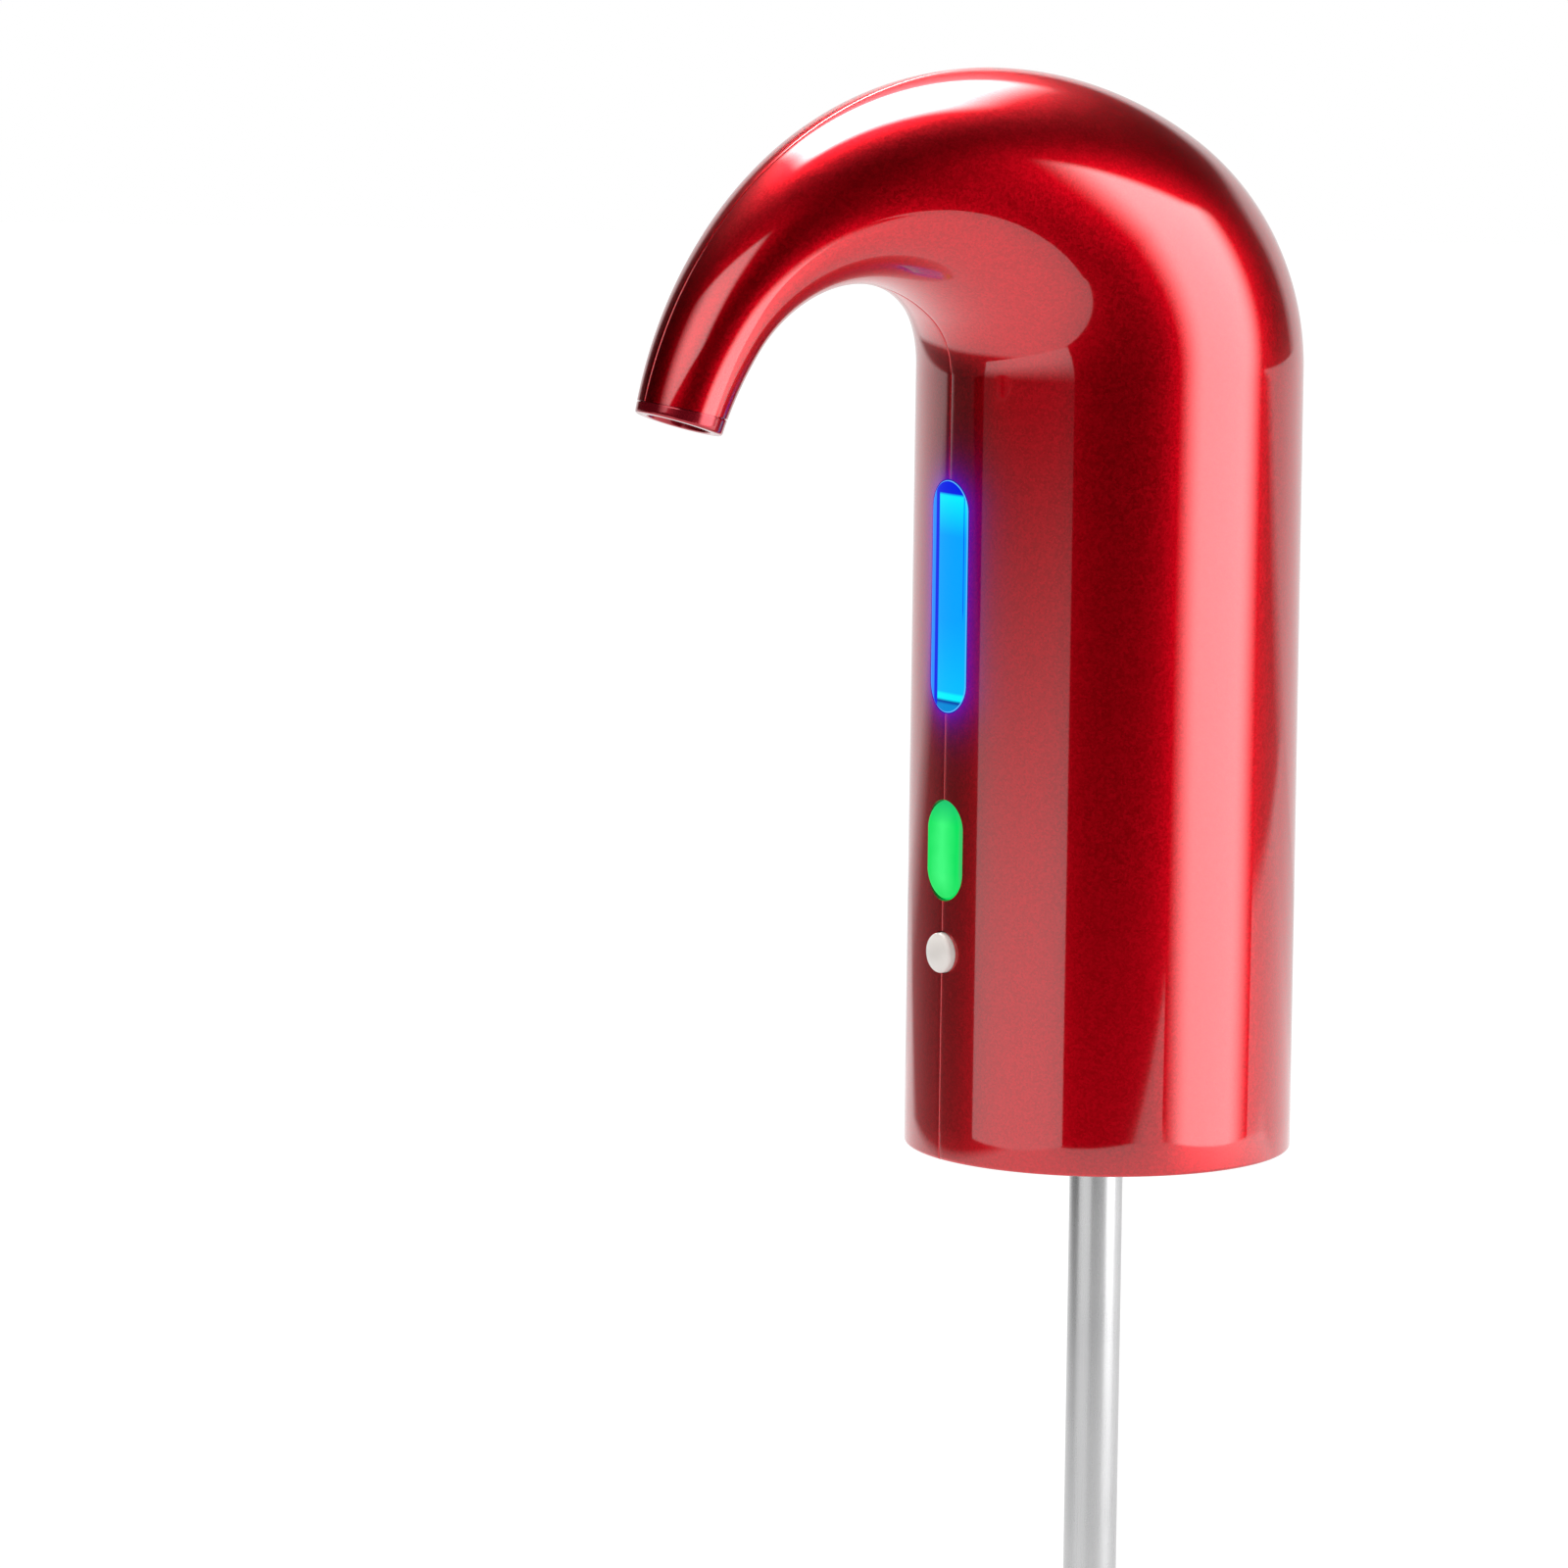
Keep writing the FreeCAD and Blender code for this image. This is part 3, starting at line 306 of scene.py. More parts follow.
def laid_out(tree, grid, x, y, z):
    """moves a grid's points to their places and closes the shape where they meet"""
    move = tree.nodes.new("GeometryNodeSetPosition")
    tree.links.new(grid, move.inputs["Geometry"])
    tree.links.new(vector_of(tree, x, y, z), move.inputs["Position"])
    weld = tree.nodes.new("GeometryNodeMergeByDistance")
    tree.links.new(move.outputs[0], weld.inputs["Geometry"])
    weld.inputs["Distance"].default_value = 0.001 * mm
    return weld.outputs[0]


def stood_on(tree, points, shape, turn):
    """one copy of a shape on each point, turned by its angles"""
    tilt = tree.nodes.new("FunctionNodeEulerToRotation")
    tree.links.new(turn, tilt.inputs[0])
    stand = tree.nodes.new("GeometryNodeInstanceOnPoints")
    tree.links.new(points, stand.inputs["Points"])
    tree.links.new(shape, stand.inputs["Instance"])
    tree.links.new(tilt.outputs[0], stand.inputs["Rotation"])
    return stand.outputs[0]


def crook_tree():
    """geometry tree for the closed wall of one half of the housing"""
    tree, entry, leave = new_tree("crook_half")
    side = entry("Side", 1.0)
    thickness = entry("Wall", wall)
    seam = entry("Seam rounding", seam_round)
    rim = entry("Rim rounding", rim_round)
    edge_steps, skin_steps, inner_steps = 5, 100, 40
    body_rows, crook_rows = 30, 170
    columns = 2 * edge_steps + skin_steps
    last = columns + inner_steps + 2

    grid, row, column = sheet_of(tree, body_rows + crook_rows, last)

    # up the body, with a rounded lower rim, then over the crook
    rim_turn = limited(row / edge_steps, 0, 1) * (math.pi / 2)
    rim_share = rim * (1 / body_height)
    rise = rim_share * (1 - cosine(rim_turn))
    rise = rise + limited((row - edge_steps) / (body_rows - edge_steps), 0, 1) * (1 - rim_share)
    fraction = limited((row - body_rows) / crook_rows, 0, 1)
    centre, back, radius = section(rise, fraction)

    # round the outside from back to front, then back along the inside
    first = limited(column / edge_steps, 0, 1) * (math.pi / 2)
    final = limited((column - (columns - edge_steps)) / edge_steps, 0, 1) * (math.pi / 2)
    middle = limited((column - edge_steps) / skin_steps, 0, 1)
    inside = limited(column - columns, 0, 1)
    closing = limited(column - (columns + 1 + inner_steps), 0, 1)
    edge_angle = seam / radius
    outer_angle = edge_angle * (1 - cosine(first)) + edge_angle * sine(final)
    outer_angle = outer_angle + middle * (math.pi - 2 * edge_angle)
    inner_angle = (1 - limited((column - (columns + 1)) / inner_steps, 0, 1)) * math.pi
    angle = outer_angle * (1 - inside) + inner_angle * inside
    rim_depth = rim * (1 - sine(rim_turn))
    outer_depth = seam * (1 - sine(first)) + seam * (1 - cosine(final)) + rim_depth
    inner_depth = thickness * (1 - closing) + (seam + rim_depth) * closing
    reach = radius - (outer_depth * (1 - inside) + inner_depth * inside)

    x = centre[0] + reach * cosine(angle) * back[0]
    z = centre[1] + reach * cosine(angle) * back[1]
    leave(laid_out(tree, grid, x, side * reach * sine(angle), z))
    return tree


def screw_tree():
    """geometry tree for pan-head screws: one stands on each point, its thread below and its head above"""
    tree, entry, leave = new_tree("pan_head_screws")
    shank = entry("Shank", 1.0 * mm)
    head = entry("Head", 2.0 * mm)
    rise = entry("Rise", 1.0 * mm)
    length = entry("Length", 8.0 * mm)
    pitch = entry("Pitch", 0.8 * mm)
    turn = entry("Turn", (0.0, 0.0, 0.0), "NodeSocketVector")
    columns, thread_rows, head_rows = 40, 72, 6
    top = thread_rows + 4
    rows = top + head_rows + 1

    grid, row, column = sheet_of(tree, rows, columns)
    angle = column * (2 * math.pi / columns)

    def part(first, last):
        """share of the way from one row to another"""
        return limited((row - first) / (last - first), 0, 1)

    along = part(2, 2 + thread_rows)
    z = length * (along - 1) - (1 - part(0, 2)) * (0.9 * mm)
    wave = ((z / pitch) - angle / (2 * math.pi)).math("FRACT")
    crest = 1 - (wave * 2 - 1).math("ABSOLUTE")
    threaded = part(2, 3) * (1 - part(thread_rows - 4, thread_rows))
    reach = shank * (part(0, 1) * 0.3 + part(1, 2) * 0.52 + part(thread_rows - 4, thread_rows) * 0.18)
    reach = reach + shank * crest * threaded * 0.18
    over = part(top, top + head_rows) * (math.pi / 2)
    reach = reach + (head - shank) * part(top - 2, top - 1) - head * 0.5 * (1 - cosine(over))
    reach = reach - head * 0.5 * part(rows - 1, rows)
    z = z + rise * (part(top - 1, top) * 0.35 + sine(over) * 0.65)
    screw = laid_out(tree, grid, reach * cosine(angle), reach * sine(angle), z)

    # a cross is sunk into the head
    cross = tree.nodes.new("GeometryNodeMeshBoolean")
    cross.operation = "DIFFERENCE"
    cross.solver = "EXACT"
    tree.links.new(screw, cross.inputs["Mesh 1"])
    for wide, deep in ((head * 1.1, head * 0.24), (head * 0.24, head * 1.1)):
        bar = tree.nodes.new("GeometryNodeMeshCube")
        raised = tree.nodes.new("GeometryNodeTransform")
        tree.links.new(vector_of(tree, wide, deep, rise * 1.4), bar.inputs["Size"])
        tree.links.new(bar.outputs["Mesh"], raised.inputs["Geometry"])
        tree.links.new(vector_of(tree, 0.0, 0.0, rise * 1.15), raised.inputs["Translation"])
        tree.links.new(raised.outputs[0], cross.inputs["Mesh 2"])
    places = tree.nodes["Group Input"].outputs["Geometry"]
    leave(stood_on(tree, places, cross.outputs["Mesh"], turn.socket))
    return tree


def row_tree():
    """geometry tree that repeats a piece by a step, or by a turn about the frame's Z axis"""
    tree, entry, leave = new_tree("repeated_piece")
    count = entry("Count", 3, "NodeSocketInt")
    step_by = entry("Step", (0.0, 0.0, 0.0), "NodeSocketVector")
    turn = entry("Turn", 0.0)
    line = tree.nodes.new("GeometryNodeMeshLine")
    tree.links.new(count.socket, line.inputs["Count"])
    tree.links.new(step_by.socket, line.inputs["Offset"])
    number = Value(tree, tree.nodes.new("GeometryNodeInputIndex").outputs[0])
    spin = vector_of(tree, 0.0, 0.0, number * turn)
    leave(stood_on(tree, line.outputs[0], tree.nodes["Group Input"].outputs["Geometry"], spin))
    return tree


# Making meshes


def new_tree(name):
    """geometry tree, a way to add its named inputs and a way to end it"""
    tree = bpy.data.node_groups.new(name, "GeometryNodeTree")
    tree.is_modifier = True
    tree.interface.new_socket("Geometry", in_out="INPUT", socket_type="NodeSocketGeometry")
    tree.interface.new_socket("Geometry", in_out="OUTPUT", socket_type="NodeSocketGeometry")
    source = tree.nodes.new("NodeGroupInput")
    target = tree.nodes.new("NodeGroupOutput")

    def entry(label, size, kind="NodeSocketFloat"):
        socket = tree.interface.new_socket(label, in_out="INPUT", socket_type=kind)
        if size is not None:
            socket.default_value = size
        return Value(tree, source.outputs[label])

    def leave(socket):
        coat = tree.nodes.new("GeometryNodeSetMaterial")
        real = tree.nodes.new("GeometryNodeRealizeInstances")
        tree.links.new(socket, real.inputs[0])
        tree.links.new(real.outputs[0], coat.inputs["Geometry"])
        tree.links.new(entry("Finish", None, "NodeSocketMaterial").socket, coat.inputs["Material"])
        tree.links.new(coat.outputs[0], target.inputs[0])

    return tree, entry, leave


def feed_all(node, settings):
    for label, setting in settings.items():
        node.inputs[label].default_value = setting


def new_piece(name, mesh):
    piece = bpy.data.objects.new(name, mesh)
    scene.collection.objects.link(piece)
    return piece


def settled(piece):
    """turns a piece's modifiers into its plain mesh"""
    mesh = bpy.data.meshes.new_from_object(piece.evaluated_get(bpy.context.evaluated_depsgraph_get()))
    piece.modifiers.clear()
    piece.data = mesh
    return piece


def grown(name, tree, points=(), source=None, **settings):
    """plain piece from a geometry tree, which may work on points or on another piece's shape"""
    piece = source or new_piece(name, bpy.data.meshes.new(name))
    if points:
        piece.data.from_pydata([tuple(p) for p in points], [], [])
    shape = piece.modifiers.new("shape", "NODES")
    shape.node_group = tree
    for item in tree.interface.items_tree:
        label = item.name.replace(" ", "_").lower()
        if item.in_out == "INPUT" and label in settings:
            shape[item.identifier] = settings[label]
    return settled(piece)


def reworked(piece, work):
    """runs a change on a piece's mesh and turns its faces outwards"""
    shape = bmesh.new()
    shape.from_mesh(piece.data)
    work(shape)
    bmesh.ops.recalc_face_normals(shape, faces=shape.faces)
    shape.to_mesh(piece.data)
    shape.free()
    return piece


def solid_from(name, points, faces):
    mesh = bpy.data.meshes.new(name)
    mesh.from_pydata([tuple(p) for p in points], [], faces)

    def weld(shape):
        bmesh.ops.remove_doubles(shape, verts=shape.verts, dist=0.0001 * mm)

    return reworked(new_piece(name, mesh), weld)


def lofted(name, rings):
    """closed solid through rings of points, each joined to the next and the last to the first"""
    points = [point for ring in rings for point in ring]
    count = len(rings[0])
    faces = []
    for k in range(len(rings)):
        other = (k + 1) % len(rings)
        for j in range(count):
            i = (j + 1) % count
            faces.append([k * count + j, k * count + i, other * count + i, other * count + j])
    return solid_from(name, points, faces)


def turned(name, outline, steps=120, place=None):
    """solid turned about Z, or as place says, from the (radius, z) corners of a closed outline"""
    place = place or (lambda r, angle, z: (r * math.cos(angle), r * math.sin(angle), z))
    angles = [2 * math.pi * k / steps for k in range(steps)]
    return lofted(name, [[place(r, angle, z) for angle in angles] for r, z in outline])


def rounded(outline, radius, steps=3):
    """closed outline with each corner rounded as far as its sides allow"""
    made = []
    corners = [Vector(point) for point in outline]
    for k, corner in enumerate(corners):
        back = corners[k - 1] - corner
        ahead = corners[(k + 1) % len(corners)] - corner
        opening = back.angle(ahead, math.pi)
        if corner.x < 1e-9 or opening > math.radians(170):
            made.append(tuple(corner))
            continue
        cut = min(radius / math.tan(opening / 2), 0.45 * back.length, 0.45 * ahead.length)
        start = corner + back.normalized() * cut
        end = corner + ahead.normalized() * cut
        for j in range(steps + 1):
            t = j / steps
            made.append(tuple(start * (1 - t) ** 2 + corner * (2 * t * (1 - t)) + end * t ** 2))
    return made


def lathed(name, outline, edge=0.15, x=0.0, y=0.0, steps=96):
    """turned solid with rounded corners, from a closed outline in millimetres"""
    piece = turned(name, rounded([(r * mm, z * mm) for r, z in outline], edge * mm), steps)
    piece.data.transform(Matrix.Translation((x, y, 0)))
    return piece


def rod(name, radius, start, end, bore=0.0, edge=0.1, steps=48):
    """round bar or tube between two places"""
    way = Vector(end) - Vector(start)
    length = way.length
    edge = min(edge * mm, radius * 0.3)
    outline = rounded([(bore, 0), (radius, 0), (radius, length), (bore, length)], edge)
    piece = turned(name, outline, steps)
    piece.data.transform(Matrix.Translation(start) @ way.to_track_quat("Z", "Y").to_matrix().to_4x4())
    return piece


def block(name, low, high, edge=0.1, segments=2):
    """box between two corners, with rounded edges"""
    piece = new_piece(name, bpy.data.meshes.new(name))
    low, high = Vector(low), Vector(high)

    def build(shape):
        frame_of_box = Matrix.Translation((low + high) / 2) @ Matrix.Diagonal((*(high - low), 1))
        bmesh.ops.create_cube(shape, size=1.0, matrix=frame_of_box)
        if edge:
            bmesh.ops.bevel(
                shape, geom=shape.edges[:], offset=edge * mm, segments=segments, profile=0.5, affect="EDGES"
            )

    return reworked(piece, build)


def joined(piece, others):
    """adds the meshes of other pieces to a piece's own"""
    shape = bmesh.new()
    shape.from_mesh(piece.data)
    for other in others:
        shape.from_mesh(other.data)
        bpy.data.objects.remove(other)
    shape.to_mesh(piece.data)
    shape.free()
    return piece


def finished(piece, angle=35):
    """smooth faces that stay flat beside their rounded edges"""
    smooth(piece, angle)
    even = piece.modifiers.new("even", "WEIGHTED_NORMAL")
    even.keep_sharp = True
    return settled(piece)


def stadium_outline(width, length, steps=28):
    """corners in (across, up) of an upright slot with half-round ends"""
    half = width / 2
    straight = (length - width) / 2
    corners = []
    for end in (1, -1):
        for k in range(steps + 1):
            angle = math.pi * k / steps
            corners.append((end * half * math.cos(angle), end * (straight + half * math.sin(angle))))
    return corners


def prism(name, outline, height, near, far):
    """closed prism along X from an outline in (y, z) about a height"""
    count = len(outline)
    points = [(x, y, at(height) + z) for x in (near, far) for y, z in outline]
    faces = [list(range(count)), list(range(2 * count - 1, count - 1, -1))]
    faces += [[k, (k + 1) % count, count + (k + 1) % count, count + k] for k in range(count)]
    return solid_from(name, points, faces)


def upright_core(name, radius, low, high):
    """plain round bar on the frame's own axis, for cutting"""
    return turned(name, [(0, low), (radius, low), (radius, high), (0, high)])


def cut_away(piece, cutters):
    for cutter in cutters:
        bite = piece.modifiers.new("cut", "BOOLEAN")
        bite.operation = "DIFFERENCE"
        bite.solver = "EXACT"
        bite.object = cutter
    settled(piece)
    for cutter in cutters:
        bpy.data.objects.remove(cutter)
    return piece


def smooth(piece, angle=35):
    """smooth shading, with sharp edges past an angle"""
    shape = bmesh.new()
    shape.from_mesh(piece.data)
    for face in shape.faces:
        face.smooth = True
    for edge in shape.edges:
        sharp = len(edge.link_faces) != 2 or edge.calc_face_angle(0) > math.radians(angle)
        edge.smooth = not sharp
    shape.to_mesh(piece.data)
    shape.free()
    return piece


def smooth_like(piece, skin):
    """faces that lie on a skin take the skin's own normals, so that cut-outs leave no marks beside them"""
    smooth(piece)
    mesh = piece.data
    source = skin.data
    places = [v.co for v in source.vertices]
    finder = BVHTree.FromPolygons(places, [tuple(p.vertices) for p in source.polygons])
    bends = [n.vector.copy() for n in source.vertex_normals]
    normals = [n.vector.copy() for n in mesh.corner_normals]
    for face in mesh.polygons:
        spot, normal, index, distance = finder.find_nearest(face.center)
        if distance > 0.05 * mm or normal.dot(face.normal) < 0.97:
            continue
        for corner in face.loop_indices:
            point = mesh.vertices[mesh.loops[corner].vertex_index].co
            spot, normal, index, distance = finder.find_nearest(point)
            ring = source.polygons[index].vertices
            shares = poly_3d_calc([places[k] for k in ring], spot)
            blend = sum((bends[k] * share for k, share in zip(ring, shares)), Vector())
            if blend.dot(face.normal) > 0.8:
                normals[corner] = blend.normalized()
    mesh.normals_split_custom_set([tuple(n) for n in normals])
    return piece


def worn(piece, body, node, finish, slot):
    """puts a piece on its body in place of its node, with its finish; slot, the record's slot, is not used"""
    piece.data.materials.clear()
    for one in finish if isinstance(finish, (list, tuple)) else [finish]:
        piece.data.materials.append(one)
    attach(piece, body)
    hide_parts(node)
    return piece


# Spout end

tip_centre, tip_back, tip_radius = section(1.0, 1.0)
tip_place = Vector((tip_centre[0], 0, tip_centre[1]))
tip_out = Vector((tip_back[0], 0, tip_back[1]))
tip_inwards = Vector((tip_back[1], 0, -tip_back[0]))


def spout_line(depth):
    """place on the spout's axis, counted in from the mouth"""
    return tip_place + tip_inwards * depth


def spout_point(radius, angle, depth):
    """place round the spout's axis: angle 0 is its back, depth is counted in from the mouth"""
    way = tip_out * math.cos(angle) + Vector((0, math.sin(angle), 0))
    return tip_place + tip_inwards * depth + way * radius


def joint_depth(angle):
    return joint_height - joint_tilt * math.cos(angle)


def skin_reach(angle, depth):
    """how far the crook's skin is from the spout's axis"""
    low, high = 0.9, 1.0
    for step in range(24):
        middle = (low + high) / 2
        centre, back, radius = section(1.0, middle)
        spot = Vector((centre[0] + radius * math.cos(angle) * back[0], radius * math.sin(angle),
                       centre[1] + radius * math.cos(angle) * back[1]))
        if (spot - tip_place).dot(tip_inwards) > depth:
            low = middle
        else:
            high = middle
    from_axis = spot - tip_place
    return (from_axis - tip_inwards * from_axis.dot(tip_inwards)).length


# Shader helpers


def shader_group(name, inputs, outputs):
    tree = bpy.data.node_groups.new(name, "ShaderNodeTree")
    for label, size in inputs.items():
        tree.interface.new_socket(label, in_out="INPUT", socket_type="NodeSocketFloat").default_value = size
    for label in outputs:
        tree.interface.new_socket(label, in_out="OUTPUT", socket_type="NodeSocketFloat")
    source = tree.nodes.new("NodeGroupInput")
    target = tree.nodes.new("NodeGroupOutput")
    return tree, source, target


def noise(tree, place, scale, detail=2.0, roughness=0.5):
    node = tree.nodes.new("ShaderNodeTexNoise")
    tree.links.new(place, node.inputs["Vector"])
    feed(tree, scale, node.inputs["Scale"])
    node.inputs["Detail"].default_value = detail
    node.inputs["Roughness"].default_value = roughness
    return Value(tree, node.outputs[0])


def grain_group():
    """fine grain, slow drift and handling marks of a moulded or lacquered surface"""
    tree, source, target = shader_group(
        "surface_grain", {"Grain per metre": 3000.0, "Drift per metre": 40.0}, ["Grain", "Drift", "Marks"]
    )
    place = tree.nodes.new("ShaderNodeTexCoord").outputs["Object"]
    grain = noise(tree, place, Value(tree, source.outputs[0]), 3.0, 0.6)
    drift = noise(tree, place, Value(tree, source.outputs[1]), 2.0)
    marks = limited((noise(tree, place, 160.0, 5.0, 0.7) - 0.52) * 4.0, 0, 1)
    for value, socket in zip((grain, drift, marks), target.inputs):
        feed(tree, value, socket)
    return tree


def flake_group():
    """metal flakes under a clear coat: how bright each one is and which way it leans"""
    tree, source, target = shader_group("metal_flake", {"Flakes per metre": 4000.0}, ["Glint", "Lean"])
    place = tree.nodes.new("ShaderNodeTexCoord").outputs["Object"]
    cells = tree.nodes.new("ShaderNodeTexVoronoi")
    tree.links.new(place, cells.inputs["Vector"])
    tree.links.new(source.outputs[0], cells.inputs["Scale"])
    spread = tree.nodes.new("ShaderNodeSeparateColor")
    tree.links.new(cells.outputs["Color"], spread.inputs[0])
    feed(tree, Value(tree, spread.outputs[0]), target.inputs[0])
    feed(tree, Value(tree, spread.outputs[1]), target.inputs[1])
    return tree


grain_nodes = grain_group()
flake_nodes = flake_group()


class Finish:
    """One material: its tree, its shader and short ways to feed the shader"""

    def __init__(self, name, **settings):
        self.material = bpy.data.materials.new(name)
        self.material.use_nodes = True
        self.tree = self.material.node_tree
        self.shader = self.tree.nodes["Principled BSDF"]
        for label, setting in settings.items():
            socket = self.shader.inputs[label.replace("_", " ").title().replace("Ior", "IOR")]
            socket.default_value = (*setting, 1.0) if isinstance(setting, tuple) else setting

    def group(self, nodes, *numbers):
        node = self.tree.nodes.new("ShaderNodeGroup")
        node.node_tree = nodes
        for place, number in enumerate(numbers):
            node.inputs[place].default_value = number
        return [Value(self.tree, socket) for socket in node.outputs]

    def place(self):
        """x, y and z of the surface in the frame"""
        split = self.tree.nodes.new("ShaderNodeSeparateXYZ")
        self.tree.links.new(self.tree.nodes.new("ShaderNodeTexCoord").outputs["Object"], split.inputs[0])
        return [Value(self.tree, socket) for socket in split.outputs]

    def mix(self, share, low, high):
        """colour between two colours"""
        node = self.tree.nodes.new("ShaderNodeMix")
        node.data_type = "RGBA"
        feed(self.tree, share, node.inputs[0])
        for colour, socket in ((low, node.inputs[6]), (high, node.inputs[7])):
            if isinstance(colour, tuple):
                socket.default_value = (*colour, 1.0)
            else:
                self.tree.links.new(colour, socket)
        return node.outputs[2]

    def colour(self, socket, label="Base Color"):
        self.tree.links.new(socket, self.shader.inputs[label])

    def value(self, value, label):
        feed(self.tree, value, self.shader.inputs[label])

    def bump(self, height, depth, socket="Normal"):
        node = self.tree.nodes.new("ShaderNodeBump")
        node.inputs["Distance"].default_value = depth
        feed(self.tree, height, node.inputs["Height"])
        self.tree.links.new(node.outputs[0], self.shader.inputs[socket])


def slot_distance(y, z, height, width, length):
    """distance from the middle line of an upright slot at a height"""
    beyond = ((z - at(height)).math("ABSOLUTE") - (length - width) / 2).math("MAXIMUM", 0)
    return (y * y + beyond * beyond).math("SQRT")


def red_lacquer():
    finish = Finish(
        "red_lacquer", Metallic=1.0, Roughness=0.40, Coat_Weight=1.0, Coat_Roughness=0.05, Coat_IOR=1.75
    )
    glint, lean = finish.group(flake_nodes, 3600.0)
    grain, drift, marks = finish.group(grain_nodes, 2500.0, 30.0)
    deep = (0.45, 0.0008, 0.005)
    bright = (0.76, 0.0022, 0.013)
    finish.colour(finish.mix(glint * 0.6 + drift * 0.3, deep, bright))
    finish.value(0.33 + glint * 0.06 + marks * 0.02, "Roughness")
    finish.bump(lean, 0.004 * mm)
    # painted glow: a violet halo of painted light in the lacquer's emission beside the lit window, fading
    # within a few millimetres, on the front only
    x, y, z = finish.place()
    from_slot = slot_distance(y, z, window_height, window_width, window_length)
    beside = (from_slot - window_width / 2).math("MAXIMUM", 0)
    on_front = limited(x * -500.0 - 8.0, 0, 1)
    glow = (beside * (-1 / (1.8 * mm))).math("EXPONENT") * on_front
    # the violet colour here is the painted halo, not a colour of the lacquer
    finish.colour(finish.mix(glow, (0.0, 0.0, 0.0), (0.045, 0.0, 0.40)), "Emission Color")
    finish.shader.inputs["Emission Strength"].default_value = 1.0
    return finish.material


def red_trim():
    finish = Finish("red_trim", Metallic=0.8, Roughness=0.25, Coat_Weight=1.0, Coat_Roughness=0.04)
    grain, drift, marks = finish.group(grain_nodes, 3000.0, 60.0)
    finish.colour(finish.mix(grain, (0.34, 0.004, 0.012), (0.48, 0.012, 0.03)))
    finish.value(0.22 + marks * 0.06, "Roughness")
    return finish.material


def nozzle_plastic():
    finish = Finish("nozzle_plastic", Roughness=0.25, Coat_Weight=0.5, Coat_Roughness=0.1)
    grain, drift, marks = finish.group(grain_nodes, 2500.0, 90.0)
    finish.colour(finish.mix(drift, (0.52, 0.025, 0.085), (0.66, 0.045, 0.12)))
    finish.value(0.22 + grain * 0.08, "Roughness")
    return finish.material


def step(value, edge, soft=0.012):
    """0 below an edge and 1 above it"""
    return limited((value - edge) / soft, 0, 1)


def lit_blue():
    """lens lit from behind: a bright core with dark lines beside it, inside a pale ring"""
    finish = Finish("lit_blue", Base_Color=(0.0, 0.02, 0.10), Specular_IOR_Level=0.2)
    x, y, z = finish.place()
    grain, drift, marks = finish.group(grain_nodes, 3000.0, 200.0)
    across = (window_width / 2 - y) / window_width
    up = (z - at(window_height)) / window_length + 0.5
    ring = slot_distance(y, z, window_height, window_width, window_length) / (window_width / 2)
    # colour of the core, from its foot to its top
    core = finish.mix(step(up, 0.10, 0.30), (0.0, 0.50, 1.0), (0.0, 0.36, 1.0))
    core = finish.mix(step(up, 0.76, 0.16), core, (0.0, 0.82, 1.0))
    core = finish.mix(step(0.092 - up, 0.0), core, (0.0, 0.90, 1.0))
    core = finish.mix(step(0.062 - up, 0.0), core, (0.0, 0.03, 0.30))
    core = finish.mix(step(0.048 - up, 0.0), core, (0.0, 0.24, 0.62))
    # dark bands beside it and above it
    lit = finish.mix(step(across, 0.13, 0.02), (0.02, 0.26, 1.0), (0.0, 0.0, 0.72))
    lit = finish.mix(step(across, 0.24) * step(0.945 - up, 0.0), lit, core)
    thin = step(across, 0.90) * step(0.93 - across, 0.0) * step(up, 0.40, 0.05)
    lit = finish.mix(thin, lit, (0.0, 0.05, 0.80))
    lit = finish.mix(step(ring, 0.955, 0.015), lit, (0.11, 0.48, 1.0))
    lit = finish.mix(step(ring, 0.985, 0.01), lit, (0.0, 0.01, 0.25))
    finish.colour(lit, "Emission Color")
    finish.value(0.26 + grain * 0.06, "Roughness")
    finish.shader.inputs["Emission Strength"].default_value = 1.0
    return finish.material


def lit_green():
    """frosted button lit from behind"""
    finish = Finish("lit_green", Base_Color=(0.0, 0.06, 0.02), Roughness=0.40, Specular_IOR_Level=0.2)
    x, y, z = finish.place()
    grain, drift, marks = finish.group(grain_nodes, 3000.0, 260.0)
    away = slot_distance(y, z, power_height, power_width * 0.9, power_length) / (power_width / 2)
    warm = limited(1.15 - away * 1.4 + (drift - 0.5) * 0.6, 0, 1)
    lit = finish.mix(warm, (0.0, 0.80, 0.11), (0.05, 1.0, 0.21))
    top = limited((z - at(power_height + power_length * 0.26)) * 260.0, 0, 1)
    lit = finish.mix(top * 0.75, lit, (0.02, 0.50, 0.20))
    lit = finish.mix(limited((away - 0.93) * 20.0, 0, 1), lit, (0.05, 0.62, 0.15))
    finish.colour(lit, "Emission Color")
    finish.value(0.36 + grain * 0.08, "Roughness")
    finish.shader.inputs["Emission Strength"].default_value = 0.9
    return finish.material


def plain_finish(name, low, high, roughness, grain_size=2500.0, drift_size=60.0, depth=0.01, **settings):
    """moulded or turned surface: two near colours in slow drift, grain in its gloss and its relief"""
    finish = Finish(name, Roughness=roughness, **settings)
    grain, drift, marks = finish.group(grain_nodes, grain_size, drift_size)
    finish.colour(finish.mix(drift * 0.7 + grain * 0.3, low, high))
    finish.value(roughness - 0.04 + grain * 0.08 + marks * 0.05, "Roughness")
    finish.bump(grain, depth * mm)
    return finish.material


